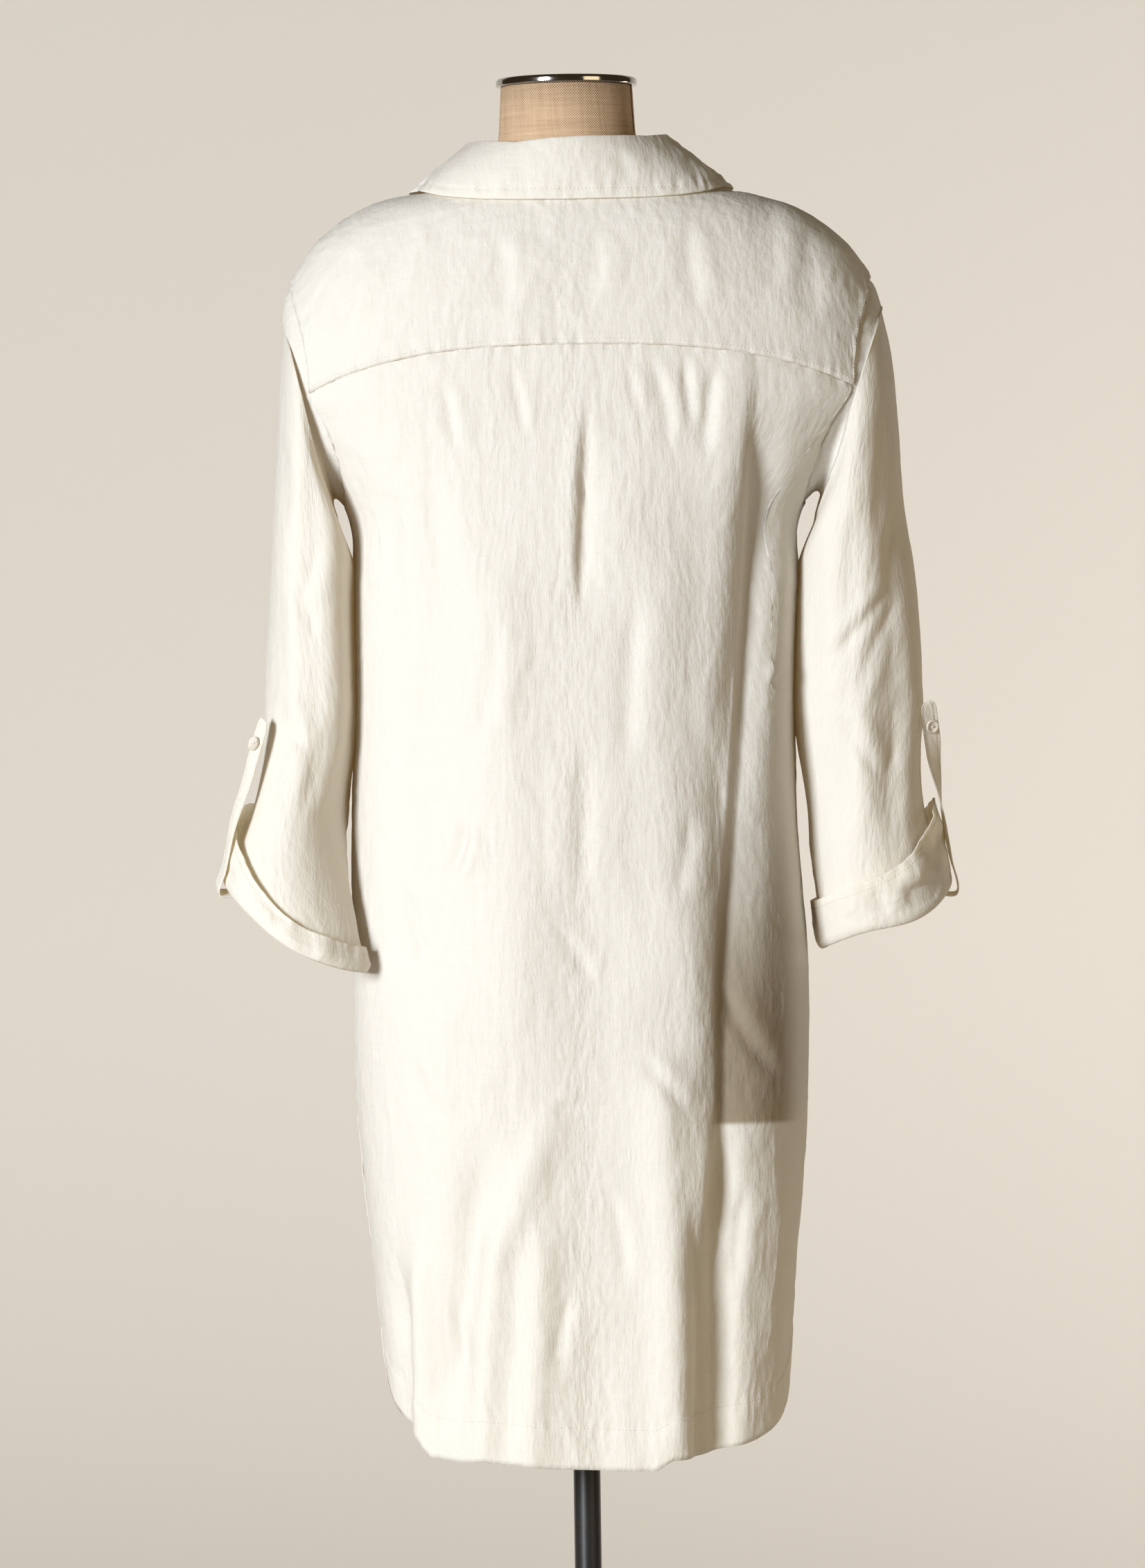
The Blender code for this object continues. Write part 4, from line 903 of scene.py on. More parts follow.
def sleeve_out(side, angle, row, distance):
    """A point of the sleeve moved straight out by a distance."""
    last = len(SLEEVES[side])
    at = sleeve_point(side, angle, row)
    across = sleeve_point(side, angle + 1, row) - sleeve_point(side, angle - 1, row)
    down = sleeve_point(side, angle, np.minimum(row + 0.1, last)) - sleeve_point(side, angle, row - 0.1)
    middle = (sleeve_point(side, angle + 180, row) + at) / 2
    normal = unit(np.cross(across, down))
    normal = normal * np.sign(np.sum(normal * (at - middle), axis=-1, keepdims=True))
    return at + normal * np.asarray(distance)[..., None]


def row_up(side, angle, run):
    """The row that lies a run's length up the sleeve from its end, at an angle."""
    last = len(SLEEVES[side])
    rows = np.linspace(last, last - CUFF_REACH_ROWS, CUFF_REACH_STEPS + 1)
    path = sleeve_point(side, np.full(rows.shape, float(angle)), rows)
    lengths = np.concatenate([[0], np.cumsum(np.linalg.norm(np.diff(path, axis=0), axis=-1))])
    return np.interp(run, lengths, rows)


def sleeve_end(side, angle):
    """A point of the sleeve's end, with the ways out from the cloth, along its edge and down past it."""
    last = len(SLEEVES[side])
    end = sleeve_point(side, angle, last)
    out = unit(sleeve_out(side, angle, last, 1.0) - end)
    near = sleeve_point(side, angle + np.array([-EDGE_STEP_ANGLE, EDGE_STEP_ANGLE]), last)
    along = unit(near[1] - near[0])
    down = unit(np.cross(along, out))
    return end, out, along, down * np.sign(np.dot(down, end - sleeve_point(side, angle, last - 1)))


def cuff_height(side, angle):
    outward = (1 + math.sin(math.radians(angle))) / 2
    inner, outer = CUFF_HEIGHTS[side]
    return inner + (outer - inner) * outward**3


def cuff_profile(side, angle):
    """Outer points of the turned-up cuff at an angle, from inside its lip round to its upper edge."""
    end, out, along, down = sleeve_end(side, angle)
    stand_off = CUFF_STAND_OFF + LYING_ON
    points = [
        end - out * CUFF_LIP_DEPTH + down * CUFF_LIP_DROP,
        end + out * 0.4 * stand_off + down * (CUFF_LIP_DROP + WALL / 2),
        end + out * 0.95 * stand_off,
    ]
    height = cuff_height(side, angle)
    for share in (0.25, 0.5, 0.75, 1):
        row = row_up(side, angle, height * share)
        flare = CUFF_FLARE * (1 + math.sin(math.radians(angle))) / 2
        points.append(sleeve_out(side, angle, row, stand_off + flare * share**2))
    return kept_clear(np.array(points), CUFF_CLEARANCE)


def tab_line(side):
    """Middle of the tab, from its tip over the cuff, under its lip and up inside the sleeve, with its ways
    out and across."""
    angle, tip_angle, _, top_run = TABS[side]
    _, out, along, down = sleeve_end(side, angle)
    tip = sleeve_out(side, tip_angle, row_up(side, tip_angle, top_run), LYING_ON + TAB_TIP_LIFT)
    profile = cuff_profile(side, angle)
    over_top = profile[-1] + out * (LYING_ON + TAB_LIFT)
    over_foot = profile[3] + out * (LYING_ON + TAB_LIFT)
    turned = profile[1] + out * TAB_LIFT + down * (LYING_ON + 2 * TAB_LIFT)
    within = profile[0] - out * (LYING_ON + 1.5 * TAB_LIFT) + down * TAB_LIFT
    inside = sleeve_out(side, angle, row_up(side, angle, TAB_INSIDE_RUN), -(2 * LYING_ON + 2 * SEAM_GAP))
    line = [tip + (over_top - tip) * row[0] for row in TAB_ROWS]
    return np.array([*line, over_top, over_foot, turned, within, inside]), out, along


# ------------------------------------------------------------------ fine surfaces

def smooth_noise(u, v, cell_u, cell_v, seed):
    """Heights from -1 to 1 that change smoothly over a sheet, one random value per cell."""
    table = np.random.default_rng(seed).uniform(-1, 1, (NOISE_CELLS, NOISE_CELLS))
    a, b = np.broadcast_arrays(u / cell_u, v / cell_v)
    i, j = np.floor(a).astype(int), np.floor(b).astype(int)
    s, t = a - i, b - j
    s = s * s * s * (s * (6 * s - 15) + 10)
    t = t * t * t * (t * (6 * t - 15) + 10)
    i, j = i % NOISE_CELLS, j % NOISE_CELLS
    k, m = (i + 1) % NOISE_CELLS, (j + 1) % NOISE_CELLS
    near = table[i, j] * (1 - s) + table[k, j] * s
    far = table[i, m] * (1 - s) + table[k, m] * s
    return near * (1 - t) + far * t


def crumple(u, v, seed):
    """Worn linen's own disorder, in metres: broad swells, sharp lengthwise creases and a fine crumple."""
    cells = CRUMPLE_CELLS
    warped_u = u + WARP_ACROSS * smooth_noise(u, v, *cells["warp_across"], seed)
    warped_v = v + WARP_ALONG * smooth_noise(u, v, *cells["warp_along"], seed + 1)
    swell = smooth_noise(warped_u, v, *cells["swell"], seed + 2)
    crease = 1 - np.abs(smooth_noise(warped_u, warped_v, *cells["crease"], seed + 3))
    cross = 1 - np.abs(smooth_noise(warped_u, warped_v, *cells["cross"], seed + 4))
    fine = smooth_noise(warped_u, warped_v, *cells["fine"], seed + 5)
    calm = 1 - CALM_SHARE + CALM_SHARE * smooth_noise(u, v, *cells["calm"], seed + 6)
    rough = crease**4 + CROSS_SHARE * cross**5 + FINE_SHARE * fine
    return SWELL_HEIGHT * swell + CREASE_HEIGHT * calm * rough


def creased(grid, table):
    """Creases listed one by one in a table: each a soft trough with a ridge on its right (width above 0) or
    its left.
    """
    x, z = grid[..., 0], grid[..., 2]
    height = np.zeros(x.shape)
    for x_top, z_top, x_foot, z_foot, bow, width, depth in table:
        along = np.array((x_foot - x_top, z_foot - z_top))
        length = np.hypot(*along)
        way = along / length
        share = ((x - x_top) * way[0] + (z - z_top) * way[1]) / length
        aside = (x - x_top) * -way[1] + (z - z_top) * way[0] - bow * 4 * share * (1 - share)
        fade = eased(-0.05, 0.3, share) * eased(1.05, 0.7, share)
        narrow = abs(width) * (0.6 + 0.4 * fade)
        beside = aside / narrow - math.copysign(CREASE_RIDGE_ASIDE, width)
        ridge = CREASE_RIDGE * hump(beside, CREASE_RIDGE_WIDTH)
        height += depth * fade * (ridge - hump(aside, narrow))
    return height


def main_fold(grid):
    """The back's deepest fold: a soft ridge down its left side, a steep fall and a slow rise to the right."""
    line, depth = [curve(MAIN_FOLD, MAIN_FOLD_COLUMNS, name, grid[..., 2]) for name in ("x", "depth")]
    aside = grid[..., 0] - line
    fall = eased(-FOLD_TOP, FOLD_FALL, aside)
    rise = eased(FOLD_RISE_END, FOLD_RISE_START, aside)
    ridge = hump(np.minimum(aside + FOLD_TOP, 0), FOLD_WIDTH) * (1 - fall)
    return depth * (ridge - FOLD_TROUGH_SHARE * fall * rise)


def round_body(grid):
    """How far round the body from its back, and how far down, each point lies: nearly metres of cloth."""
    return BODY_ROUND * np.arctan2(grid[..., 0], -grid[..., 1]), -grid[..., 2]


def round_front(grid):
    return BODY_ROUND * np.arctan2(grid[..., 0], grid[..., 1]), -grid[..., 2]


def over_shoulders(grid):
    return grid[..., 0], -grid[..., 1] - grid[..., 2]


def cloth_lengths(grid):
    """How far along its row and down its column each point of a grid lies, in metres."""
    across = np.linalg.norm(np.diff(grid, axis=1), axis=-1)
    down = np.linalg.norm(np.diff(grid, axis=0), axis=-1)
    u = np.concatenate([np.zeros((len(grid), 1)), np.cumsum(across, axis=1)], axis=1)
    v = np.concatenate([np.zeros((1, grid.shape[1])), np.cumsum(down, axis=0)], axis=0)
    return u - u[:, [grid.shape[1] // 2]], v


def refined(grid, rows):
    """The grid's rows joined by smooth curves and divided into more rows."""
    places = np.arange(len(grid), dtype=float)
    place = np.linspace(0, len(grid) - 1, rows)
    return through(places, grid, place)


def between_rows(grid, rows):
    """Points of each column at its own fractional row."""
    low = np.clip(np.floor(rows).astype(int), 0, len(grid) - 2)
    share = (rows - low)[:, None]
    columns = np.arange(grid.shape[1])
    return grid[low, columns] * (1 - share) + grid[low + 1, columns] * share


# ------------------------------------------------------------------ meshes

PLACED = {}


def settings():
    return bpy.context.scene.tunic_sizes


def colours():
    return bpy.context.scene.tunic_colours


def linked(name, data):
    """A new object in the scene. The same name made again replaces the old one."""
    old = bpy.data.objects.get(name)
    if old is not None:
        bpy.data.objects.remove(old)
    made = bpy.data.objects.new(name, data)
    bpy.context.scene.collection.objects.link(made)
    return made


def plain_mesh(thing):
    """What an object's modifiers make of its mesh."""
    bpy.context.view_layer.update()
    return bpy.data.meshes.new_from_object(thing.evaluated_get(bpy.context.evaluated_depsgraph_get()))


def added(name, mesh, finish):
    """The object of a mesh whose points are in place, with its finish."""
    mesh.name = name
    mesh.materials.clear()
    mesh.materials.append(finish)
    return linked(name, mesh)


def placed_piece(piece, node):
    """Says what a finished piece rides on, and hides the solid that it takes the place of."""
    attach(piece, BODY)
    if node:
        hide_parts(node)


def grid_corners(rows, columns, closed):
    """Row and column of each corner of each face of a grid. A closed row runs on past its last column."""
    last = columns if closed else columns - 1
    i, j = np.divmod(np.arange((rows - 1) * last), last)
    return np.stack([i, i, i + 1, i + 1], axis=1), np.stack([j, j + 1, j + 1, j], axis=1)


def grid_faces(rows, columns, closed):
    i, j = grid_corners(rows, columns, closed)
    return i * columns + j % columns


def grid_uvs(grid, closed, lengths):
    """For each corner of each face of a grid, how far along and down the cloth it lies."""
    u, v = lengths(grid)
    if closed:
        around = np.linalg.norm(grid[:, 0] - grid[:, -1], axis=-1)
        u = np.concatenate([u, (u[:, -1] + around)[:, None]], axis=1)
        v = np.concatenate([v, v[:, :1]], axis=1)
    i, j = grid_corners(*grid.shape[:2], closed)
    return np.stack([u[i, j], v[i, j]], axis=-1)


def grid_mesh(name, grids, closed, inside, lids=False, lengths=cloth_lengths):
    """A mesh of grids of points, facing away from the points inside, with a UV map in metres of cloth."""
    faces, uvs, points = [], [], []
    for grid in grids:
        flat = grid.reshape(-1, 3)
        face = grid_faces(*grid.shape[:2], closed)
        uv = grid_uvs(grid, closed, lengths)
        corners = flat[face]
        away = corners[:, 0] - np.broadcast_to(inside(grid), grid.shape).reshape(-1, 3)[face[:, 0]]
        normals = np.cross(corners[:, 1] - corners[:, 0], corners[:, 2] - corners[:, 0])
        if np.sum(normals * away) < 0:
            face, uv = face[:, ::-1], uv[:, ::-1]
        faces.append(face + sum(len(part) for part in points))
        uvs.append(uv.reshape(-1, 2))
        points.append(flat)
    points = np.concatenate(points)
    _, first, place = np.unique(np.round(points, 7), axis=0, return_index=True, return_inverse=True)
    order = np.argsort(first)
    rank = np.empty(len(first), int)
    rank[order] = np.arange(len(first))
    faces = rank[place.reshape(-1)][np.concatenate(faces)].tolist()
    uvs = np.concatenate(uvs)
    if lids:
        columns = grids[0].shape[1]
        count = len(points)
        faces += [list(range(columns))[::-1], list(range(count - columns, count))]
        uvs = np.concatenate([uvs, points[faces[-2]][:, :2], points[faces[-1]][:, :2]])
    mesh = bpy.data.meshes.new(name)
    mesh.from_pydata(points[first[order]].tolist(), [], faces)
    mesh.uv_layers.new(name="cloth").data.foreach_set("uv", uvs.reshape(-1).astype(np.float32))
    mesh.shade_smooth()
    return mesh


def raised(grid, relief, closed, inside):
    """A grid moved along its own normals by its relief, and those normals."""
    normals = normals_of(grid, closed, inside(grid))
    return grid + normals * relief[..., None], normals


def make_cloth(name, grids, closed, inside, lengths):
    """A sheet of cloth from grids of its outer points, with a thin wall inwards."""
    piece = added(f"{name}_cloth", grid_mesh(name, grids, closed, inside, lengths=lengths), tunic_linen())
    wall = piece.modifiers.new("wall", "SOLIDIFY")
    wall.thickness = settings().cloth_thickness
    wall.offset = -1
    placed_piece(piece, name)


def make_sheet(name, grid, relief, closed, inside, lengths=cloth_lengths):
    PLACED[name] = raised(grid, relief, closed, inside)
    make_cloth(name, [PLACED[name][0]], closed, inside, lengths)


def to_axis(grid):
    """For each point, the point of the pole's axis at its height."""
    return grid * (0, 0, 1)


def lathe_mesh(name, profile, steps):
    """A turned closed shape round the Z axis, from a profile that starts and ends on the axis."""
    profile = np.array(profile, float)
    turns = np.linspace(0, 2 * math.pi, steps, endpoint=False)
    rings = profile[1:-1]
    points = [(0, 0, profile[0][1])]
    for radius, z in rings:
        points += [(radius * math.cos(t), radius * math.sin(t), z) for t in turns]
    points.append((0, 0, profile[-1][1]))
    end = len(points) - 1
    base = end - steps
    faces = [(0, 1 + j, 1 + (j + 1) % steps) for j in range(steps)]
    faces += (grid_faces(len(rings), steps, True)[:, ::-1] + 1).tolist()
    faces += [(end, base + (j + 1) % steps, base + j) for j in range(steps)]
    mesh = bpy.data.meshes.new(name)
    mesh.from_pydata(points, [], faces)
    mesh.shade_smooth()
    mesh.set_sharp_from_angle(angle=math.radians(50))
    return mesh


def rounded_corner(radius, z, size, start, steps=5):
    """Points of a profile's corner, rounded over a quarter turn that starts at an angle in degrees."""
    angles = np.radians(np.linspace(start, start - 90, steps))
    return [(radius + size * math.cos(a), z + size * math.sin(a)) for a in angles]


# ------------------------------------------------------------------ finishes

def made_once(maker):
    """The material that carries its maker's name, made when it is first asked for."""

    def finish():
        return bpy.data.materials.get(maker.__name__) or maker(Nodes(maker.__name__))

    return finish


class Nodes:
    """Adds shader nodes to a material, each in one call."""

    def __init__(self, name):
        self.made = bpy.data.materials.new(name)
        self.made.use_nodes = True
        self.tree = self.made.node_tree
        self.shader = self.tree.nodes["Principled BSDF"]
        self.output = self.tree.nodes["Material Output"]

    def add(self, kind, links=None, **values):
        node = self.tree.nodes.new(kind)
        for key, value in values.items():
            if hasattr(node, key):
                setattr(node, key, value)
            else:
                node.inputs[key.replace("_", " ")].default_value = value
        for key, source in (links or {}).items():
            self.tree.links.new(source, node.inputs[key])
        return node

    def link(self, source, socket):
        self.tree.links.new(source, socket)

    def drive(self, name, source):
        """Lets a node's output give one of the finish's own values."""
        self.link(source, self.shader.inputs[name])

    def finished(self, **values):
        """The material, with constants on its shader's own sockets."""
        for key, value in values.items():
            self.shader.inputs[key.replace("_", " ")].default_value = value
        return self.made

    def seen_as(self, share, other):
        """Mixes another shader into the surface: the share is a number or a node's output."""
        mix = self.add("ShaderNodeMixShader", {1: self.shader.outputs[0], 2: other})
        if isinstance(share, float):
            mix.inputs[0].default_value = share
        else:
            self.link(share, mix.inputs[0])
        self.link(mix.outputs[0], self.output.inputs["Surface"])

    def math(self, operation, a, b):
        node = self.tree.nodes.new("ShaderNodeMath")
        node.operation = operation
        for socket, value in zip(node.inputs, (a, b)):
            if isinstance(value, (int, float)):
                socket.default_value = value
            else:
                self.link(value, socket)
        return node.outputs[0]

    def stretched_noise(self, coordinates, stretch, scale, detail):
        mapping = self.add("ShaderNodeMapping", {"Vector": coordinates})
        mapping.inputs["Scale"].default_value = stretch
        noise = self.add("ShaderNodeTexNoise", {"Vector": mapping.outputs[0]}, Scale=scale, Detail=detail)
        return noise.outputs[0]

    def clouds(self, stretch, scale, detail):
        """Noise that keeps its place on the piece."""
        place = self.add("ShaderNodeTexCoord").outputs["Object"]
        return self.stretched_noise(place, stretch, scale, detail)

    def ranged(self, value, **limits):
        return self.add("ShaderNodeMapRange", {"Value": value}, **limits).outputs[0]

    def bump(self, links, strength, distance):
        return self.add("ShaderNodeBump", links, Strength=strength, Distance=distance).outputs[0]

    def mixed(self, factor, a, b):
        """The colour that lies between two: each is three numbers or a node's output."""
        mix = self.add("ShaderNodeMix", {"Factor": factor}, data_type="RGBA")
        for socket, value in (("A", a), ("B", b)):
            target = next(s for s in mix.inputs if s.name == socket and s.type == "RGBA")
            if isinstance(value, bpy.types.NodeSocket):
                self.link(value, target)
            else:
                target.default_value = (*value, 1)
        return next(s for s in mix.outputs if s.type == "RGBA")


def woven(nodes, coordinates, pitch, slub):
    """Threads of a plain weave: their relief, and how thick and bright they run along their length."""
    warp = nodes.stretched_noise(coordinates, (1 / pitch, 0.05 / pitch, 0.05 / pitch), 1.0, 2.0)
    weft = nodes.stretched_noise(coordinates, (0.05 / pitch, 1 / pitch, 1 / pitch), 1.0, 2.0)
    warp_slubs = nodes.stretched_noise(coordinates, (0.35 / pitch, 0.012 / pitch, 0.012 / pitch), 1.0, 3.0)
    weft_slubs = nodes.stretched_noise(coordinates, (0.012 / pitch, 0.35 / pitch, 0.35 / pitch), 1.0, 3.0)
    threads = nodes.math("ADD", warp, weft)
    slubs = nodes.math("MULTIPLY", nodes.math("ADD", warp_slubs, weft_slubs), slub)
    return nodes.math("ADD", threads, slubs)


def painted_form_shade(nodes):
    """How much painted shade darkens the linen where the dress form's lower end hangs behind it, away from
    the light.
    """
    place = nodes.add("ShaderNodeTexCoord").outputs["Object"]
    axes = nodes.add("ShaderNodeSeparateXYZ", {"Vector": place}).outputs
    seen = nodes.ranged(axes[1], From_Min=PAINTED_FORM_SHADE_FRONT_Y, From_Max=PAINTED_FORM_SHADE_BACK_Y)
    for axis, start, end in PAINTED_FORM_SHADE_EDGES:
        fade = nodes.ranged(axes[axis], From_Min=start, From_Max=end, interpolation_type="SMOOTHSTEP")
        seen = nodes.math("MULTIPLY", seen, fade)
    return seen


@made_once
def tunic_linen(nodes):
    """The tunic's cloth: a fine slubbed weave that lets some light through."""
    uv = nodes.add("ShaderNodeUVMap", uv_map="cloth").outputs[0]
    weave = woven(nodes, uv, settings().thread_pitch, 1.2)
    shade = nodes.ranged(weave, From_Min=1.3, From_Max=3.1)
    colour = nodes.mixed(shade, colours().linen_slub, colours().linen)
    # painted shade: the form's lower end blocking light through the linen, mixed into the base colour as a
    # dark patch on the back
    behind = nodes.math("MULTIPLY", painted_form_shade(nodes), PAINTED_FORM_SHADE)
    nodes.drive("Base Color", nodes.mixed(behind, colour, colours().form_painted_shade))
    rough = nodes.stretched_noise(uv, (240, 90, 90), 1.0, 3.0)
    creasing = nodes.stretched_noise(uv, (110, 45, 45), 1.0, 4.0)
    crumpled = nodes.math("ADD", rough, nodes.math("MULTIPLY", creasing, 1.6))
    coarse = nodes.bump({"Height": crumpled}, 0.6, 0.0011)
    bump = nodes.bump({"Height": weave, "Normal": coarse}, 0.5, 0.00022)
    nodes.drive("Normal", bump)
    through = nodes.add("ShaderNodeBsdfTranslucent", {"Normal": bump}, Color=(*colours().linen_through, 1))
    nodes.seen_as(settings().see_light, through.outputs[0])
    return nodes.finished(Roughness=0.85, Sheen_Weight=0.15, Sheen_Roughness=0.5, Specular_IOR_Level=0.25)


@made_once
def sewing_thread(nodes):
    """Twisted thread with random patches of painted highlight and painted shade, standing for its bulging
    strands and the grooves between them.
    """
    twist = nodes.clouds((2500, 2500, 2500), 1.0, 1.0)
    nodes.drive("Base Color", nodes.mixed(twist, colours().thread_painted_shade, colours().thread))
    return nodes.finished(Roughness=0.6)


@made_once
def form_cover(nodes):
    """The dress form's cover: a coarse natural linen with dark and light threads."""
    uv = nodes.add("ShaderNodeUVMap", uv_map="cloth").outputs[0]
    pitch = settings().form_thread_pitch
    axes = nodes.add("ShaderNodeSeparateXYZ", {"Vector": uv}).outputs
    turns = [nodes.math("MULTIPLY", axes[i], math.tau / pitch) for i in (0, 1)]
    dots = nodes.math("MULTIPLY", *[nodes.math("SINE", turn, 0.0) for turn in turns])
    threads = nodes.math("ADD", nodes.math("MULTIPLY", dots, 0.55), 0.55)
    weave = nodes.math("ADD", threads, nodes.math("MULTIPLY", woven(nodes, uv, pitch, 0.9), 0.6))
    shade = nodes.ranged(weave, From_Min=0.9, From_Max=2.4)
    nodes.drive("Base Color", nodes.mixed(shade, colours().form_dark, colours().form_light))
    nodes.drive("Normal", nodes.bump({"Height": weave}, 0.8, 0.0005))
    return nodes.finished(Roughness=0.9, Specular_IOR_Level=0.2)


@made_once
def form_seam_shade(nodes):
    """The dark line where two pieces of the form's cover meet."""
    uneven = nodes.clouds((1, 1, 1), 900.0, 2.0)
    dark = tuple(0.35 * channel for channel in colours().form_dark)
    nodes.drive("Base Color", nodes.mixed(uneven, dark, colours().form_dark))
    return nodes.finished(Roughness=0.9)


@made_once
def button_pearl(nodes):
    """Buttons: pale shell with cloudy rings."""
    clouds = nodes.clouds((1, 1, 1), 420.0, 3.0)
    nodes.drive("Base Color", nodes.mixed(clouds, colours().button_shade, colours().button))
    nodes.drive("Roughness", nodes.ranged(clouds, To_Min=0.16, To_Max=0.34))
    return nodes.finished(Coat_Weight=0.5, Coat_Roughness=0.12)


@made_once
def cap_chrome(nodes):
    """Polished metal with faint circular wiping marks."""
    marks = nodes.clouds((1, 1, 6), 160.0, 4.0)
    nodes.drive("Roughness", nodes.ranged(marks, To_Min=0.05, To_Max=0.16))
    return nodes.finished(Base_Color=(*colours().chrome, 1), Metallic=1.0)


@made_once
def stand_paint(nodes):
    """Satin black paint with a slight unevenness."""
    uneven = nodes.clouds((1, 1, 1), 300.0, 2.0)
    nodes.drive("Roughness", nodes.ranged(uneven, To_Min=0.28, To_Max=0.42))
    nodes.drive("Normal", nodes.bump({"Height": uneven}, 0.15, 0.0002))
    return nodes.finished(Base_Color=(*colours().paint, 1), Coat_Weight=0.3)


@made_once
def studio_paper(nodes):
    """Plain paper, clear from its back, so that it hides nothing from a camera behind it."""
    clear = nodes.add("ShaderNodeBsdfTransparent").outputs[0]
    nodes.seen_as(nodes.add("ShaderNodeNewGeometry").outputs["Backfacing"], clear)
    return nodes.finished(Base_Color=(*colours().backdrop, 1), Roughness=0.95, Specular_IOR_Level=0.1)


# ------------------------------------------------------------------ the tunic's pieces

def body_relief(grid, lengths, seed, table):
    """Creases and crumple of a panel of the body."""
    return CREASE_GAIN * creased(grid, table) + crumple(*lengths(grid), seed)


def shallow(relief, deepest):
    """The relief with its troughs held above what the cloth rests on."""
    return np.where(relief < 0, deepest * np.tanh(relief / deepest), relief)


def tucked_edge(v):
    """How far a cloth's top edge is pulled in under the seam above it."""
    return -TUCK_DEPTH * hump(v, TUCK_REACH)


def seam_pucker(u, away, seed):
    """Small gathers that a row of stitches pulls beside it, dying away from the seam."""
    pull = sum(
        share * smooth_noise(u, away, width, length, seed + i)
        for i, (width, length, share) in enumerate(PUCKERS)
    )
    return PUCKER_HEIGHT * pull * np.exp(-away / PUCKER_REACH)


def below_shoulders(grid):
    return grid * (0.6, 0.6, 1) - (0, 0, 0.1)


def yoke_turns(middle_steps):
    """Turns over the whole yoke, from its front corner on one side to that on the other."""
    side = 90 + armhole(np.linspace(180, YOKE_FRONT_ANGLE, YOKE_SIDE_STEPS + 1))[0]
    side[-1] -= gap_turn(YOKE_END_RADIUS)
    return across_back(side, middle_steps)


def make_yoke_cloth():
    """The yoke, from the neckline over the shoulders to its seam."""
    turns = yoke_turns(FINE_MIDDLE_STEPS)
    foot = bend_at(turns, yoke_foot_z(turns) + SEAM_GAP / 2)
    grid = shoulder_point(turns[None, :], foot[None, :] * np.linspace(0, 1, YOKE_FINE_ROWS + 1)[:, None])
    u, v = cloth_lengths(grid)
    away = v[-1] - v
    relief = YOKE_CRUMPLE * body_relief(grid, over_shoulders, SEEDS["back_yoke"], YOKE_CREASES)
    relief += seam_pucker(u, away, SEEDS["yoke_foot"])
    relief += SEAM_RIDGE * hump(away - SEAM_ALLOWANCE / 2, SEAM_ALLOWANCE / 2)
    relief += seam_pucker(u, v, SEEDS["yoke_top"]) * 0.7
    relief = shallow(relief, YOKE_TROUGH_DEPTH)
    make_sheet("back_yoke", grid, relief, False, below_shoulders, over_shoulders)


def make_back_cloth():
    """The back, from under the yoke and the armholes down to the hem."""
    side = 90 + armhole(np.linspace(180, 270, ARM_FINE_STEPS + 1))[0]
    side[-1] -= gap_turn(BACK_END_RADIUS)
    turns = across_back(side, FINE_MIDDLE_STEPS)
    sewn_to_yoke = np.abs(turns) <= YOKE_CORNER_TURN
    under_arm = armhole_z(np.abs(turns), -1) - SEAM_GAP / 2
    top = np.where(sewn_to_yoke, yoke_seam_z(turns) + TUCK_UNDER, under_arm)
    foot = hem_z(turns, HEM_BACK)
    shares = np.linspace(0, 1, HUNG_FINE_ROWS + 1)[:, None]
    grid = body_point(turns[None, :], top + (foot - top) * shares)
    grid[..., 2] += broken_line(HEM_WAVE_BACK, grid[..., 0]) * shares**6
    u, v = cloth_lengths(grid)
    relief = body_relief(grid, round_body, SEEDS["back_panel"], BACK_CREASES) + main_fold(grid)
    relief += seam_pucker(u, v, SEEDS["back_top"]) + hem_relief(v[-1] - v, u, SEEDS["back_hem"])
    relief += tucked_edge(v)
    make_sheet("back_panel", grid, relief, False, to_axis, round_body)


def hem_relief(away, u, seed):
    """A turned-up hem: two layers thick, pulled in by the stitches along its upper edge."""
    depth = settings().hem_depth
    thick = HEM_LEDGE * eased(depth + HEM_LEDGE_HALF_WIDTH, depth - HEM_LEDGE_HALF_WIDTH, away)
    pulled = -HEM_GROOVE * hump(away - depth, HEM_GROOVE_WIDTH)
    return thick + pulled + seam_pucker(u, np.abs(away - depth), seed) * 0.8


def front_half(side):
    """Rows of points of half the front, from its side (or yoke seam, or armhole) to its centre or slit."""
    top_z = neckline(COLLAR_END_TURN)[2]
    shares = np.linspace(0, 1, FRONT_YOKE_FINE_ROWS + 1)
    angles = np.linspace(YOKE_FRONT_ANGLE, -90, FRONT_ARM_FINE_ROWS + 1)[1:]
    aside, arm_z = armhole(angles)
    across = np.linspace(0, 1, FRONT_FINE_STEPS + 1)

    z = top_z + (YOKE_END_Z - top_z) * shares
    centre = np.abs(front_turn_at(side * slit_half_width(z), z))[:, None]
    seam = YOKE_END_TURN + gap_turn(YOKE_END_RADIUS)
    turns = seam + (centre - seam) * across
    upper = shoulder_point(side * turns, bend_at(side * turns, YOKE_END_Z) * shares[:, None])

    centre = np.abs(front_turn_at(side * slit_half_width(arm_z), arm_z))
    centre = np.where(angles <= SLIT_FOOT_ANGLE, 180, centre)[:, None]
    gap = gap_turn(BACK_END_RADIUS)
    edge = (90 + gap + aside)[:, None]
    beside_arm = body_point(side * (edge + (centre - edge) * across), arm_z[:, None])

    turns = 90 + gap + (90 - gap) * across
    start = UNDERARM_Z - SEAM_GAP / 2
    foot = hem_z(180 - turns, HEM_FRONT)
    shares = np.linspace(0, 1, HUNG_FINE_ROWS + 1)[1:, None]
    return np.concatenate([upper, beside_arm, body_point(side * turns, start + (foot - start) * shares)])


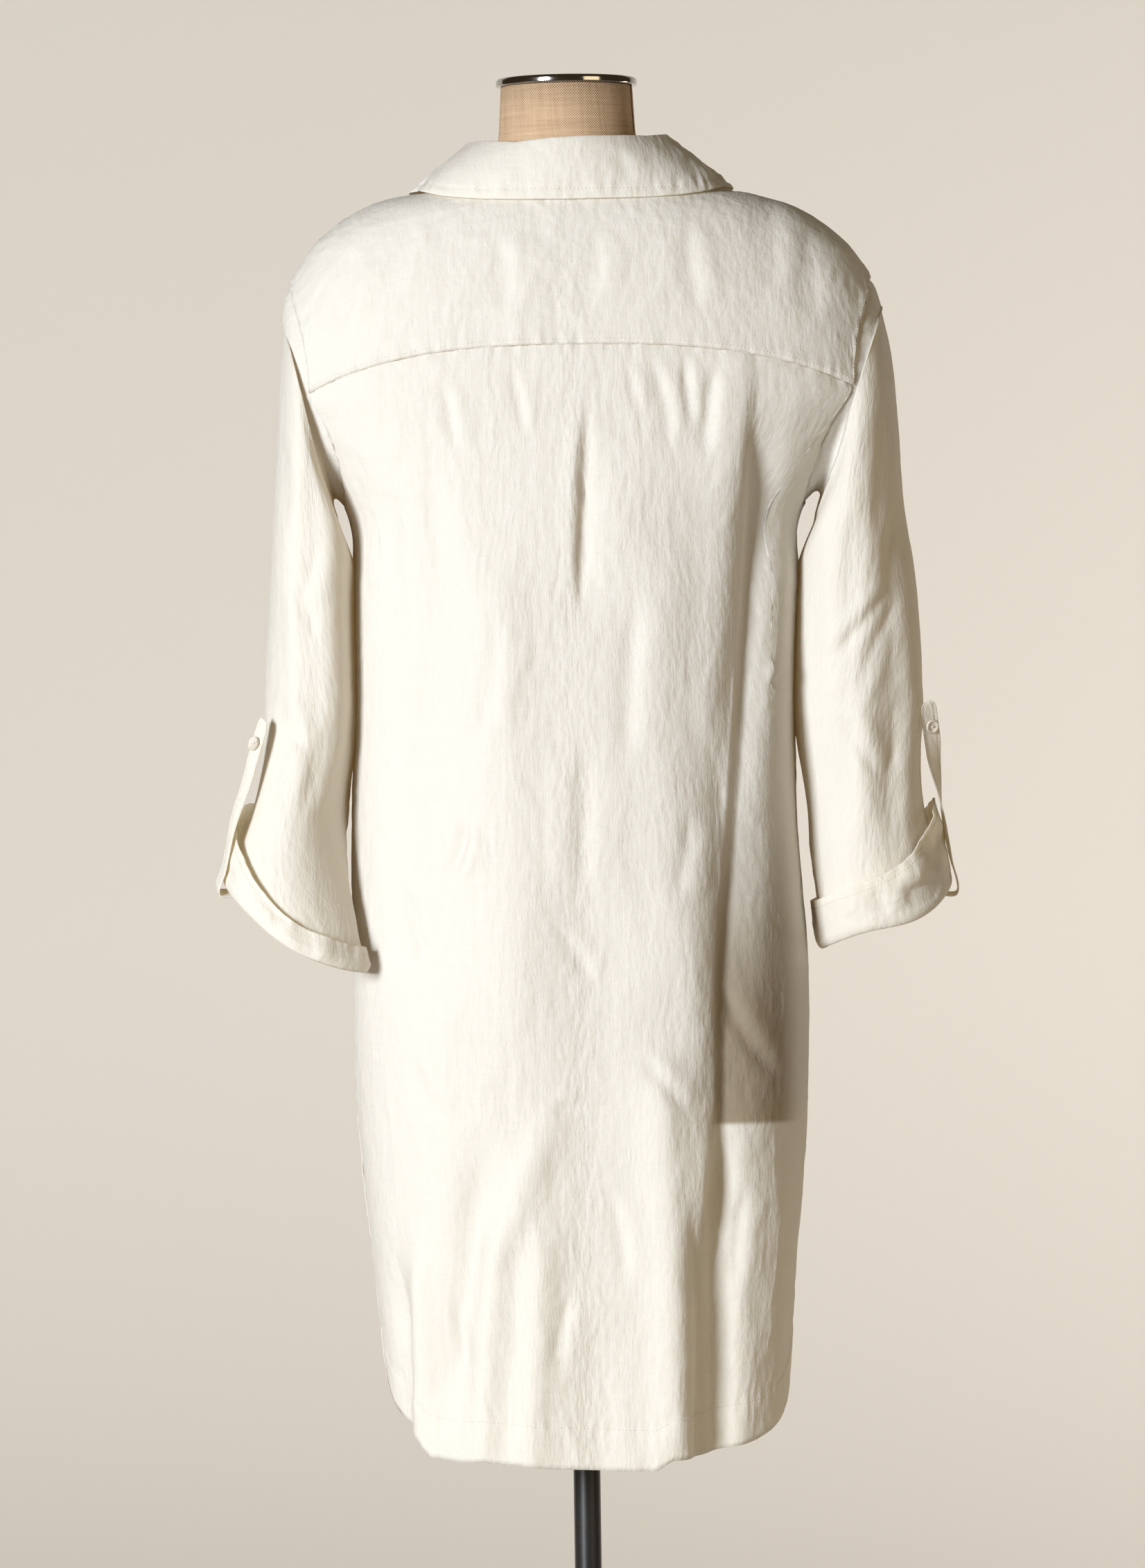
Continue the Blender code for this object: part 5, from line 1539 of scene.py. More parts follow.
def make_front_cloth():
    """The front, as two halves that meet at the centre below the neck slit."""
    halves = []
    for side in (-1, 1):
        grid = front_half(side)
        u, v = cloth_lengths(grid)
        relief = body_relief(grid, round_front, SEEDS["front_panel"], FRONT_CREASES)
        relief += hem_relief(v[-1] - v, u, SEEDS["front_hem"])
        relief *= eased(0, SEWN_EDGE_CALM, u[:, -1:] - u)
        halves.append(raised(grid, relief, False, to_axis))
    grids = [halves[0][0], halves[1][0][:, ::-1]]
    normals = np.concatenate([halves[0][1], halves[1][1][:, ::-1]], axis=1)
    PLACED["front_panel"] = (np.concatenate(grids, axis=1), normals)
    make_cloth("front_panel", grids, False, to_axis, round_front)


def placket_grid(side, heights, distance):
    z = heights[:, None]
    xs = side * slit_half_width(z) + np.linspace(-0.5, 0.5, PLACKET_FINE_COLUMNS) * PLACKET_WIDTH
    return surface_out(front_turn_at(xs, z), z + 0 * xs, distance)[0]


def make_placket_cloth():
    """The two bands of the neck slit, one over the other."""
    top_z = neckline(COLLAR_END_TURN)[2] - PLACKET_TOP_GAP
    over_z = np.linspace(top_z, PLACKET_FOOT_Z, PLACKET_FINE_ROWS)
    under_foot_z = SLIT_FOOT_Z + (PLACKET_FOOT_Z - SLIT_FOOT_Z) / 7
    under_z = np.linspace(top_z, under_foot_z, PLACKET_FINE_ROWS // 2)
    for name, side, heights, distance in (
        ("placket_right", 1, over_z, 2 * LYING_ON),
        ("placket_left", -1, under_z, LYING_ON),
    ):
        grid = placket_grid(side, heights, distance)
        u, v = cloth_lengths(grid)
        relief = PLACKET_CRUMPLE * crumple(u, v, SEEDS["placket"])
        relief += PLACKET_EDGE * (np.abs(u) / (PLACKET_WIDTH / 2)) ** 4
        make_sheet(name, grid, relief, False, to_axis)


def collar_fold(turn):
    return fold_line(turn) + stacked(0 * turn, 0 * turn, broken_line(FOLD_WAVE, turn))


def make_collar_cloth():
    """The stand, from the neckline up to the fold, and the fall, from there down to the collar's edge."""
    turns = np.linspace(-COLLAR_END_TURN, COLLAR_END_TURN, COLLAR_FINE_STEPS + 1)
    fold = collar_fold(turns)
    foot = stacked(*neckline(turns)) + np.array((0, 0, 4 * SEAM_GAP))
    top = moved(fold, -0.0015, -0.0022)
    stand = refined(np.array([foot, (foot + top) / 2, top]), STAND_FINE_ROWS)
    u, v = cloth_lengths(stand)
    relief = STAND_CRUMPLE * crumple(u, v, SEEDS["collar_stand"])
    make_sheet("collar_stand", stand, relief, False, to_axis)

    rounded = COLLAR_TOP_ROUNDING
    over_fold = ((-rounded, -0.0003), (-rounded / 3, 0), (rounded / 3, -rounded / 2))
    rows = [moved(fold, out, up) for out, up in over_fold]
    edge = collar_edge(turns)
    for share in np.linspace(0, 1, COLLAR_ROWS + 1)[1:]:
        rows.append(moved(rows[2] + (edge - rows[2]) * share, COLLAR_BULGE * math.sin(math.pi * share), 0))
    fall = refined(np.array(rows), COLLAR_FINE_ROWS)
    u, v = cloth_lengths(fall)
    away = v[-1] - v
    rough = 0.55 + 0.45 * eased(-10, 60, turns)[None, :]
    relief = rough * crumple(u, v, SEEDS["collar_fall"]) * eased(0.0, 0.010, v)
    relief += creased(fall, COLLAR_CREASES)
    relief += rough * 1.3 * seam_pucker(u, np.abs(away - COLLAR_STITCH_IN), SEEDS["collar_edge"])
    relief -= COLLAR_GROOVE * hump(away - COLLAR_STITCH_IN, COLLAR_GROOVE_WIDTH)
    relief = np.maximum(relief, -0.0006 - 0.002 * eased(0.0, 0.02, away))
    make_sheet("collar_fall", fall, relief, False, below_shoulders)


def ring_middle(grid):
    return grid.mean(axis=1, keepdims=True)


def make_sleeve_cloth(side):
    """A sleeve, from its armhole seam down to the fold of its cuff."""
    last = len(SLEEVES[side])
    cap_rows = np.linspace(0, 1, SLEEVE_CAP_ROWS, endpoint=False)
    rows = np.concatenate([cap_rows, np.linspace(1, last, SLEEVE_FINE_ROWS)])
    angles = np.linspace(0, 360, SLEEVE_FINE_STEPS, endpoint=False)
    grid = sleeve_point(side, angles[None, :], rows[:, None])
    v = cloth_lengths(grid)[1]
    relief = SLEEVE_CRUMPLE * sleeve_crumple(angles, v, SEEDS[f"sleeve_{side}"])
    behind = at_back(angles)
    relief += behind * creased(grid, SLEEVE_CREASES[side])
    relief += (1 - behind) * creased(grid, SLEEVE_FRONT_CREASES[side])
    relief *= eased(0.0, SEWN_EDGE_CALM, v)
    relief += seam_pucker(angles[None, :] * 0.001, v, SEEDS["sleeve_seam"]) * 0.8 + tucked_edge(v)
    make_sheet(f"sleeve_{side}", grid, relief, True, ring_middle)


def at_back(angles):
    """How much each angle round a sleeve faces the back."""
    return eased(-0.05, 0.35, -np.cos(np.radians(angles)))[None, :]


def sleeve_crumple(angles, v, seed):
    """Crumple round a tube, blended where its two ends meet."""
    around = angles[None, :] / 360 * SLEEVE_ROUND
    other = (angles[None, :] - 360) / 360 * SLEEVE_ROUND
    share = eased(300, 360, angles)[None, :]
    return crumple(around, v, seed) * (1 - share) + crumple(other, v, seed) * share


def make_cuff_cloth(side):
    """The turned-up end of a sleeve, puffed at its outer side."""
    angles = np.linspace(0, 360, CUFF_FINE_STEPS, endpoint=False)
    coarse = np.linspace(0, 360, CUFF_COARSE_STEPS, endpoint=False)
    profiles = np.stack([cuff_profile(side, angle) for angle in coarse])
    places = np.concatenate([coarse[-2:] - 360, coarse, coarse[:2] + 360])
    profiles = np.concatenate([profiles[-2:], profiles, profiles[:2]])
    grid = refined(through(places, profiles, angles).swapaxes(0, 1), CUFF_FINE_ROWS)
    inside = sleeve_point(side, angles, len(SLEEVES[side]) - 0.5)
    u, v = cloth_lengths(grid)
    length = v[-1:]
    share = v / length
    outer = (1 + np.sin(np.radians(angles)))[None, :] / 2
    puffed = np.clip((share - CUFF_PUFF_START) / (1 - CUFF_PUFF_START), 0, 1)
    relief = CUFF_PUFF * outer**2 * np.sin(np.pi * puffed) ** 2
    relief += CUFF_CRUMPLE * sleeve_crumple(angles, v, SEEDS[f"cuff_{side}"]) * eased(0.1, 0.45, share)
    relief += 0.7 * seam_pucker(angles[None, :] * 0.001, length - v, SEEDS["cuff_edge"])
    relief += eased(0.1, 0.3, share) * at_back(angles) * creased(grid, CUFF_CREASES[side])
    relief = np.maximum(relief, -CUFF_TROUGH_DEPTH)
    make_sheet(f"cuff_{side}", grid, relief, True, lambda _: inside)


def make_tab_cloth(side):
    """The strap that holds a cuff up, from its buttoned tip to its end inside the sleeve."""
    line, out, along = tab_line(side)
    cuff_row = len(TAB_ROWS)
    lengths = np.concatenate([[0], np.cumsum(np.linalg.norm(np.diff(line, axis=0), axis=-1))])
    places = np.linspace(0, lengths[-1], TAB_FINE_ROWS)
    middle = through(lengths, line, places)
    shares, widths, twists = np.array(TAB_ROWS).T
    place = places / lengths[cuff_row]
    widths = TAB_WIDTH * np.interp(place, [*shares, 1], [*widths, 1])
    twists = through(np.array([*shares[1:], 1, 2]), np.array([*twists[1:], 0, 0]), place)
    turned = np.radians(TABS[side][TAB_TWIST] * twists)[:, None]
    sideways = along * np.cos(turned) - out * np.sin(turned)
    across = np.linspace(-0.5, 0.5, TAB_FINE_COLUMNS)
    grid = middle[:, None, :] + sideways[:, None, :] * (widths[:, None] * across)[..., None]
    turning = (line[cuff_row] + line[cuff_row + 2]) / 2 - out * TAB_WIDTH / 3
    u, v = cloth_lengths(grid)
    relief = TAB_CRUMPLE * crumple(u, v, SEEDS["tab"])
    relief -= TAB_GROOVE * hump(np.abs(across) - TAB_STITCH_SHARE, TAB_GROOVE_WIDTH)[None, :]
    wave = TAB_WAVE * np.sin(places / TAB_WAVE_LENGTH + TAB_WAVE_START)
    relief += (wave * eased(0.03, 0.045, places))[:, None]
    make_sheet(f"tab_{side}", grid, relief, False, lambda _: turning)


# ------------------------------------------------------------------ buttons

def button_frame(node):
    """Middle of the seat of a packed button, and the way it faces: its flattest axis, away from the pole."""
    points = np.array([tuple(v.co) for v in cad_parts[node].data.vertices])
    middle = (points.min(axis=0) + points.max(axis=0)) / 2
    middle = points.mean(axis=0) * 0.5 + middle * 0.5
    axes = np.linalg.svd(points - points.mean(axis=0), full_matrices=False)[2]
    outward = axes[2] * np.sign(np.dot(axes[2], away_from(node, middle)))
    heights = (points - middle) @ outward
    return middle + outward * heights.min(), outward


def away_from(node, middle):
    """The level way from the middle of the sleeve, or of the body, to a button."""
    centre = Vector((0, 0, 0))
    if node.startswith("tab"):
        low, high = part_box("sleeve_" + node.rsplit("_", 1)[1])
        centre = (Vector(low) + Vector(high)) / 2
    return np.array((middle[0] - centre.x, middle[1] - centre.y, 0))


def bored(mesh, spread, radius, depth):
    """The mesh with two holes bored through it along Z."""
    body = linked("bored", mesh)
    profile = ((0, depth), (radius, depth), (radius, -depth), (0, -depth))
    drills = []
    for name, aside in (("left_drill", -spread), ("right_drill", spread)):
        drill = lathe_mesh(name, profile, DRILL_STEPS)
        drill.transform(Matrix.Translation((aside, 0, 0)))
        drills.append(linked(name, drill))
        body.modifiers.new("hole", "BOOLEAN").object = drills[-1]
    made = plain_mesh(body)
    for thing in drills + [body]:
        bpy.data.objects.remove(thing)
    made.shade_smooth()
    made.set_sharp_from_angle(angle=math.radians(40))
    return made


def make_button(node):
    """A dished 2-hole button on its packed place, with the thread that holds it."""
    seat, outward = button_frame(node)
    radius, thick = BUTTON_RADIUS, BUTTON_THICKNESS
    profile = [(share * radius, rise * thick) for share, rise in BUTTON_PROFILE]
    solid = lathe_mesh(node, profile, BUTTON_FINE_STEPS)
    mesh = bored(solid, BUTTON_HOLE_SPREAD, BUTTON_HOLE_RADIUS, 2 * thick)
    sideways = unit(np.cross(outward, (0, 0, 1)))
    upward = np.cross(outward, sideways)
    place = Matrix(np.column_stack([sideways, upward, outward]).tolist()).to_4x4()
    place.translation = Vector(seat)
    mesh.transform(place)
    placed_piece(added(f"{node}_pearl", mesh, button_pearl()), node)
    loops = []
    for lean in (-BUTTON_THREAD_LEAN, BUTTON_THREAD_LEAN):
        path = [(share * BUTTON_HOLE_SPREAD, lean, rise * thick) for share, rise in BUTTON_THREAD_PATH]
        loops.append(tube_mesh(node, refined(np.array(path), BUTTON_THREAD_ROWS), BUTTON_THREAD_RADIUS))
    strands = joined(node, loops)
    strands.transform(place)
    placed_piece(added(f"{node}_thread", strands, sewing_thread()), None)


def tube_mesh(name, path, radius):
    """A round closed tube along a path."""
    ways = unit(np.gradient(path, axis=0))
    level = unit(np.cross(ways, (0.31, 0.2, 0.93)))
    upright = np.cross(ways, level)
    turns = np.linspace(0, 2 * math.pi, CORD_SIDES, endpoint=False)
    rings = path[:, None] + radius * (
        level[:, None] * np.cos(turns)[None, :, None] + upright[:, None] * np.sin(turns)[None, :, None]
    )
    faces = grid_faces(len(path), CORD_SIDES, True)[:, ::-1].tolist()
    last = (len(path) - 1) * CORD_SIDES
    faces += [tuple(reversed(range(CORD_SIDES))), tuple(range(last, last + CORD_SIDES))]
    mesh = bpy.data.meshes.new(name)
    mesh.from_pydata(rings.reshape(-1, 3).tolist(), [], [tuple(face) for face in faces])
    mesh.shade_smooth()
    return mesh


def joined(name, meshes):
    """One mesh of several."""
    points = [np.array([tuple(v.co) for v in mesh.vertices]) for mesh in meshes]
    starts = np.cumsum([0] + [len(part) for part in points])
    faces = []
    for start, mesh in zip(starts, meshes):
        faces += [tuple(int(start) + i for i in face.vertices) for face in mesh.polygons]
    made = bpy.data.meshes.new(name)
    made.from_pydata(np.concatenate(points).tolist(), [], faces)
    made.shade_smooth()
    for mesh in meshes:
        bpy.data.meshes.remove(mesh)
    return made


# ------------------------------------------------------------------ stitches

def stitch_nodes():
    """Geometry nodes that sew stitches of a length and pitch along every line of a mesh."""
    tree = bpy.data.node_groups.new("stitches", "GeometryNodeTree")
    face = tree.interface
    face.new_socket("Line", in_out="INPUT", socket_type="NodeSocketGeometry")
    for name in ("Pitch", "Length", "Radius"):
        face.new_socket(name, in_out="INPUT", socket_type="NodeSocketFloat")
    face.new_socket("Thread", in_out="INPUT", socket_type="NodeSocketMaterial")
    face.new_socket("Stitches", in_out="OUTPUT", socket_type="NodeSocketGeometry")
    new, link = tree.nodes.new, tree.links.new
    given, result = new("NodeGroupInput"), new("NodeGroupOutput")
    curve, evenly = new("GeometryNodeMeshToCurve"), new("GeometryNodeResampleCurve")
    evenly.mode = "LENGTH"
    one = new("GeometryNodeMeshCylinder")
    one.inputs["Vertices"].default_value = 7
    one.inputs["Side Segments"].default_value = 1
    place = new("GeometryNodeInstanceOnPoints")
    tangent, turn = new("GeometryNodeInputTangent"), new("FunctionNodeAlignEulerToVector")
    turn.axis = "Z"
    uneven = new("FunctionNodeRandomValue")
    uneven.data_type = "FLOAT"
    real, smooth = new("GeometryNodeRealizeInstances"), new("GeometryNodeSetShadeSmooth")
    finish = new("GeometryNodeSetMaterial")
    link(given.outputs["Line"], curve.inputs[0])
    link(curve.outputs[0], evenly.inputs["Curve"])
    link(given.outputs["Pitch"], evenly.inputs["Length"])
    link(given.outputs["Radius"], one.inputs["Radius"])
    link(given.outputs["Length"], one.inputs["Depth"])
    link(evenly.outputs[0], place.inputs["Points"])
    link(one.outputs[0], place.inputs["Instance"])
    link(tangent.outputs[0], turn.inputs["Vector"])
    link(turn.outputs[0], place.inputs["Rotation"])
    uneven.inputs[2].default_value = 0.85
    uneven.inputs[3].default_value = 1.1
    uneven.inputs["Seed"].default_value = SEEDS["stitches"]
    link(uneven.outputs[1], place.inputs["Scale"])
    link(place.outputs[0], real.inputs[0])
    link(real.outputs[0], smooth.inputs[0])
    link(smooth.outputs[0], finish.inputs[0])
    link(given.outputs["Thread"], finish.inputs["Material"])
    link(finish.outputs[0], result.inputs[0])
    return tree


def line_mesh(name, lines):
    """A mesh of open lines through points."""
    edges, start = [], 0
    for line in lines:
        edges += [(i, i + 1) for i in range(start, start + len(line) - 1)]
        start += len(line)
    mesh = bpy.data.meshes.new(name)
    mesh.from_pydata(np.concatenate(lines).tolist(), edges, [])
    return mesh


def sew(name, lines):
    """A row or rows of stitches along lines of points, as one plain mesh."""
    holder = linked(name, line_mesh(name, lines))
    tree = bpy.data.node_groups.get("stitches") or stitch_nodes()
    sewing = holder.modifiers.new("stitches", "NODES")
    sewing.node_group = tree
    values = {
        "Pitch": settings().stitch_pitch,
        "Length": settings().stitch_length,
        "Radius": settings().stitch_radius,
        "Thread": sewing_thread(),
    }
    for item in tree.interface.items_tree:
        if item.in_out == "INPUT" and item.name in values:
            sewing[item.identifier] = values[item.name]
    plain = plain_mesh(holder)
    bpy.data.objects.remove(holder)
    placed_piece(added(name, plain, sewing_thread()), None)


def line_on(name, row_at, start=0.0, end=1.0):
    """Points of a placed cloth at a distance down from its top (or up from its foot if below 0)."""
    grid, normals = PLACED[name]
    v = cloth_lengths(grid)[1]
    targets = np.broadcast_to(row_at if row_at >= 0 else v[-1] + row_at, v.shape[1])
    places = np.arange(len(grid))
    rows = np.array([np.interp(target, lengths, places) for target, lengths in zip(targets, v.T)])
    line = between_rows(grid, rows) + between_rows(normals, rows) * STITCH_LIFT
    count = len(line)
    return line[int(start * count) : max(int(end * count), 2)]


def column_line(name, share, first=0.0, last=1.0):
    """Points of a placed cloth down one column, at a share of its width."""
    grid, normals = PLACED[name]
    j = int(round(share * (grid.shape[1] - 1)))
    rows = slice(int(first * len(grid)), int(last * len(grid)))
    return grid[rows, j] + normals[rows, j] * STITCH_LIFT


def make_stitches():
    hem = settings().hem_depth
    sew("stitches_yoke", [line_on("back_yoke", -YOKE_STITCH_IN)])
    sew("stitches_hem", [line_on("back_panel", -hem), line_on("front_panel", -hem)])
    sew("stitches_collar", [line_on("collar_fall", -COLLAR_STITCH_IN, 0.02, 0.98)])
    plackets = []
    for name in ("placket_right", "placket_left"):
        plackets += [column_line(name, share, 0.01, 0.99) for share in PLACKET_STITCH_SHARES]
    plackets += [line_on("placket_right", -up) for up in PLACKET_STITCHES_UP]
    sew("stitches_placket", plackets)
    for side in SLEEVES:
        edge = line_on(f"cuff_{side}", -CUFF_STITCH_IN)
        sew(f"stitches_cuff_{side}", [np.concatenate([edge, edge[:1]])])
        tab = [column_line(f"tab_{side}", share, 0.04, 0.6) for share in TAB_STITCH_SHARES]
        sew(f"stitches_tab_{side}", tab)


# ------------------------------------------------------------------ dress form and stand

def fine_form_rows():
    """Rows of points of the dress form's cover, from the top of its neck down to its foot."""
    front = np.linspace(YOKE_END_TURN, 360 - YOKE_END_TURN, FORM_FINE_STEPS // 2)[1:-1]
    turns = np.concatenate([yoke_turns(FORM_FINE_STEPS // 2), front])
    at_front = np.abs((turns + 180) % 360 - 180) > YOKE_END_TURN - 0.75
    foot_z = np.where(at_front, YOKE_END_Z, yoke_foot_z(np.minimum(turns, YOKE_END_TURN)))
    shares = np.linspace(0, 1, 7)
    bends = bend_at(turns, foot_z + SEAM_GAP / 2)[None, :] * shares[:, None]
    over = shoulder_point(turns[None, :], bends)
    cloth = np.concatenate([over, body_point(turns[None, :], FORM_ARM_FOOT_Z)])
    gap = np.where(at_front, FORM_FRONT_GAP, FORM_GAP)[None, :, None]
    gap = gap + FORM_FALL_AWAY * np.linspace(0, 1, len(cloth))[:, None, None] ** FORM_FALL_POWER
    upper = cloth - normals_of(cloth, True, cloth * (0.5, 0.5, 1) - (0, 0, 0.1)) * gap
    past_plate = (np.abs(upper[..., 0]) / ARM_PLATE_X) ** ARM_PLATE_SHARPNESS
    upper[..., 0] *= (1 + past_plate) ** (-1 / ARM_PLATE_SHARPNESS)
    s, c = sine_cosine(turns)
    neck = [stacked(radius * s, -radius * c, z) for z, radius in reversed(NECK_RINGS)]
    torso = [stacked(*oval(turns, half, half, back, ahead), z) for z, half, back, ahead in FORM_SECTIONS]
    return turns, np.concatenate([neck, upper, torso])


def make_form():
    turns, rows = fine_form_rows()
    grid = np.concatenate([rows[:3], refined(rows[2:], FORM_FINE_ROWS)[1:]])
    mesh = grid_mesh("dress_form", [grid], True, to_axis, lids=True)
    piece = added("dress_form_cover", mesh, form_cover())
    placed_piece(piece, "dress_form")
    seam = rows[:5, np.argmin(np.abs(turns - FORM_SEAM_TURN))]
    outward = unit(seam * (1, 1, 0))
    path = refined(seam + outward * FORM_SEAM_LIFT, FORM_SEAM_ROWS)
    cord = tube_mesh("form_seam", path, FORM_SEAM_RADIUS)
    placed_piece(added("form_seam", cord, form_seam_shade()), None)


def turned_piece(node, name, profile, finish):
    placed_piece(added(name, lathe_mesh(node, profile, LATHE_STEPS), finish), node)


def make_stand():
    foot = NECK_RINGS[-1][0] + SEAM_GAP
    top = foot + CAP_THICKNESS
    radius = CAP_RADIUS
    cap = [(0, top)]
    cap += [(radius * share, top - CAP_THICKNESS * 0.06 * (share / 0.9) ** 4) for share in (0.5, 0.8, 0.9)]
    cap += rounded_corner(radius - 0.0022, top - 0.0028, 0.0022, 80)
    cap += rounded_corner(radius - 0.0012, foot + 0.0014, 0.0012, 0)
    cap += [(radius * 0.93, foot), (0, foot)]
    turned_piece("neck_cap", "neck_cap_chrome", cap, cap_chrome())

    foot_z = BASE_HUB_HEIGHT + SEAM_GAP
    top_z = FORM_SECTIONS[-1][0] - SEAM_GAP
    pole = [(0, top_z), (POLE_RADIUS, top_z), (POLE_RADIUS, foot_z), (0, foot_z)]
    turned_piece("pole", "pole_painted", pole, stand_paint())

    hub, edge = BASE_HUB_RADIUS, 0.002
    base = [(0, BASE_HUB_HEIGHT)]
    base += rounded_corner(hub - edge, BASE_HUB_HEIGHT - edge, edge, 90)
    base += [(hub * 1.02, BASE_THICKNESS * 1.6), (hub * 1.15, BASE_THICKNESS * 1.2)]
    base += [(BASE_RADIUS * 0.94, BASE_THICKNESS)]
    base += rounded_corner(BASE_RADIUS - edge, BASE_THICKNESS * 0.6 - edge / 2, edge, 80)
    base += [(BASE_RADIUS, 0.0008), (BASE_RADIUS - 0.0008, 0), (0, 0)]
    turned_piece("base_plate", "base_plate_painted", base, stand_paint())


# ------------------------------------------------------------------ studio

def make_light(name, place, aim, size, power, colour):
    data = bpy.data.lights.new(name, "AREA")
    data.shape = "RECTANGLE"
    data.size, data.size_y = size
    data.energy = power
    data.color = colour
    light = linked(name, data)
    light.location = place
    light.rotation_euler = (Vector(aim) - Vector(place)).to_track_quat("-Z", "Y").to_euler()
    light.visible_camera = False


def make_camera():
    data = bpy.data.cameras.new("camera")
    data.lens = CAMERA_LENS
    data.sensor_width = CAMERA_SENSOR
    data.sensor_fit = "AUTO"
    camera = linked("camera", data)
    c, s = math.cos(math.radians(CAMERA_ROLL)), math.sin(math.radians(CAMERA_ROLL))
    camera.matrix_world = Matrix(((c, s, 0, 0), (0, 0, -1, 0), (-s, c, 0, 0), (0, 0, 0, 1)))
    camera.location = CAMERA_PLACE
    bpy.context.scene.camera = camera


def make_backdrop():
    """A pale floor that curves up into a wall behind the object."""
    profile = [(FLOOR_NEAR_Y, 0.0)]
    for angle in np.linspace(0, math.pi / 2, PAPER_BEND_STEPS + 1):
        y = PAPER_FAR_Y - PAPER_BEND * (1 - math.sin(angle))
        profile.append((y, PAPER_BEND * (1 - math.cos(angle))))
    profile.append((PAPER_FAR_Y, PAPER_TOP_Z))
    points = [(x, y, z) for y, z in profile for x in (-FLOOR_HALF_WIDTH, FLOOR_HALF_WIDTH)]
    faces = [(2 * i, 2 * i + 1, 2 * i + 3, 2 * i + 2) for i in range(len(profile) - 1)]
    mesh = bpy.data.meshes.new("studio_sweep")
    mesh.from_pydata(points, [], faces)
    mesh.shade_smooth()
    added("studio_sweep", mesh, studio_paper())


def make_studio():
    make_backdrop()
    make_camera()
    studio = bpy.context.scene.tunic_studio
    for name, place, aim, size, share, colour in LIGHTS:
        make_light(name, place, aim, size, share * studio.light_power, colour)
    world = bpy.data.worlds.new("studio_air")
    world.use_nodes = True
    background = world.node_tree.nodes["Background"]
    background.inputs["Color"].default_value = (*studio.air_colour, 1)
    background.inputs["Strength"].default_value = studio.air_strength
    scene = bpy.context.scene
    scene.world = world
    scene.view_settings.view_transform = "Standard"
    scene.view_settings.look = "None"
    scene.view_settings.exposure = studio.exposure


# ------------------------------------------------------------------ settings and operators

def length_setting(name, description, default):
    return bpy.props.FloatProperty(
        name=name,
        description=description,
        default=default,
        min=0.0,
        unit="LENGTH",
        subtype="DISTANCE",
        precision=5,
    )


def share_setting(name, description, default):
    return bpy.props.FloatProperty(name=name, description=description, default=default, min=0.0, max=1.0)


def colour_setting(name, description, default):
    return bpy.props.FloatVectorProperty(
        name=name, description=description, default=default, size=3, min=0.0, max=1.0, subtype="COLOR"
    )


class TunicSizes(bpy.types.PropertyGroup):
    """Sizes of the cloth, its threads and its stitches."""

    cloth_thickness: length_setting("Cloth thickness", "Thickness of one layer of linen", 0.0009)
    thread_pitch: length_setting("Thread pitch", "Distance between threads of the tunic's weave", 0.0007)
    form_thread_pitch: length_setting("Form thread pitch", "Distance between the form's threads", 0.0020)
    hem_depth: length_setting("Hem depth", "Depth of the turned-up hem", 0.032)
    stitch_pitch: length_setting("Stitch pitch", "Distance from one stitch to the next", 0.0030)
    stitch_length: length_setting("Stitch length", "Length of thread that shows between two holes", 0.0022)
    stitch_radius: length_setting("Thread radius", "Half the sewing thread's thickness", 0.00016)
    see_light: share_setting("Light through", "Share of the light that goes through the linen", 0.45)


class TunicColours(bpy.types.PropertyGroup):
    """Colours of the cloth and of what holds it."""

    linen: colour_setting("Linen", "Brightest threads of the tunic", (0.970, 0.973, 0.972))
    linen_slub: colour_setting("Slubs", "Thicker, darker threads of the tunic", (0.885, 0.885, 0.870))
    linen_through: colour_setting("Linen lit through", "Light that comes through linen", (0.92, 0.81, 0.59))
    # painted shade: the dark patch where the form's lower end blocks light through the back of the linen
    form_painted_shade: colour_setting("Form behind linen", "The form's end, as it shows through", (0.30, 0.24, 0.155))
    # painted highlight and painted shade of the thread's twist: the lit strands and the grooves between them
    thread: colour_setting("Thread", "Sewing thread in light", (0.86, 0.82, 0.73))
    thread_painted_shade: colour_setting("Thread twist", "Sewing thread between its strands", (0.66, 0.60, 0.50))
    form_light: colour_setting("Form's light threads", "Pale threads of the form's cover", (0.74, 0.53, 0.35))
    form_dark: colour_setting("Form's dark threads", "Dark threads of the form's cover", (0.28, 0.17, 0.095))
    button: colour_setting("Button", "Bright clouds of the shell", (0.80, 0.74, 0.66))
    button_shade: colour_setting("Button clouds", "Darker clouds of the shell", (0.55, 0.47, 0.38))
    chrome: colour_setting("Chrome", "Polished metal", (0.42, 0.39, 0.36))
    paint: colour_setting("Paint", "Black paint of the pole and base", (0.013, 0.012, 0.012))
    backdrop: colour_setting("Backdrop", "Paper behind the object", (0.675, 0.620, 0.560))


class TunicStudio(bpy.types.PropertyGroup):
    """Light of the studio."""

    light_power: bpy.props.FloatProperty(
        name="Light power", description="Power that all lamps share", default=910.0, min=0.0, unit="POWER"
    )
    air_colour: colour_setting("Air colour", "Colour of the soft light from everywhere", (1.0, 0.74, 0.42))
    air_strength: bpy.props.FloatProperty(
        name="Air strength", description="Strength of the soft light from everywhere", default=0.06, min=0.0
    )
    exposure: bpy.props.FloatProperty(name="Exposure", description="Stops of exposure", default=0.0)


class TUNIC_OT_body(bpy.types.Operator):
    """Make the yoke, the back, the front and the placket of the tunic"""

    bl_idname = "tunic.body"
    bl_label = "Body"

    def execute(self, context):
        make_yoke_cloth()
        make_back_cloth()
        make_front_cloth()
        make_placket_cloth()
        return {"FINISHED"}


class TUNIC_OT_collar(bpy.types.Operator):
    """Make the collar's stand and fall"""

    bl_idname = "tunic.collar"
    bl_label = "Collar"

    def execute(self, context):
        make_collar_cloth()
        return {"FINISHED"}


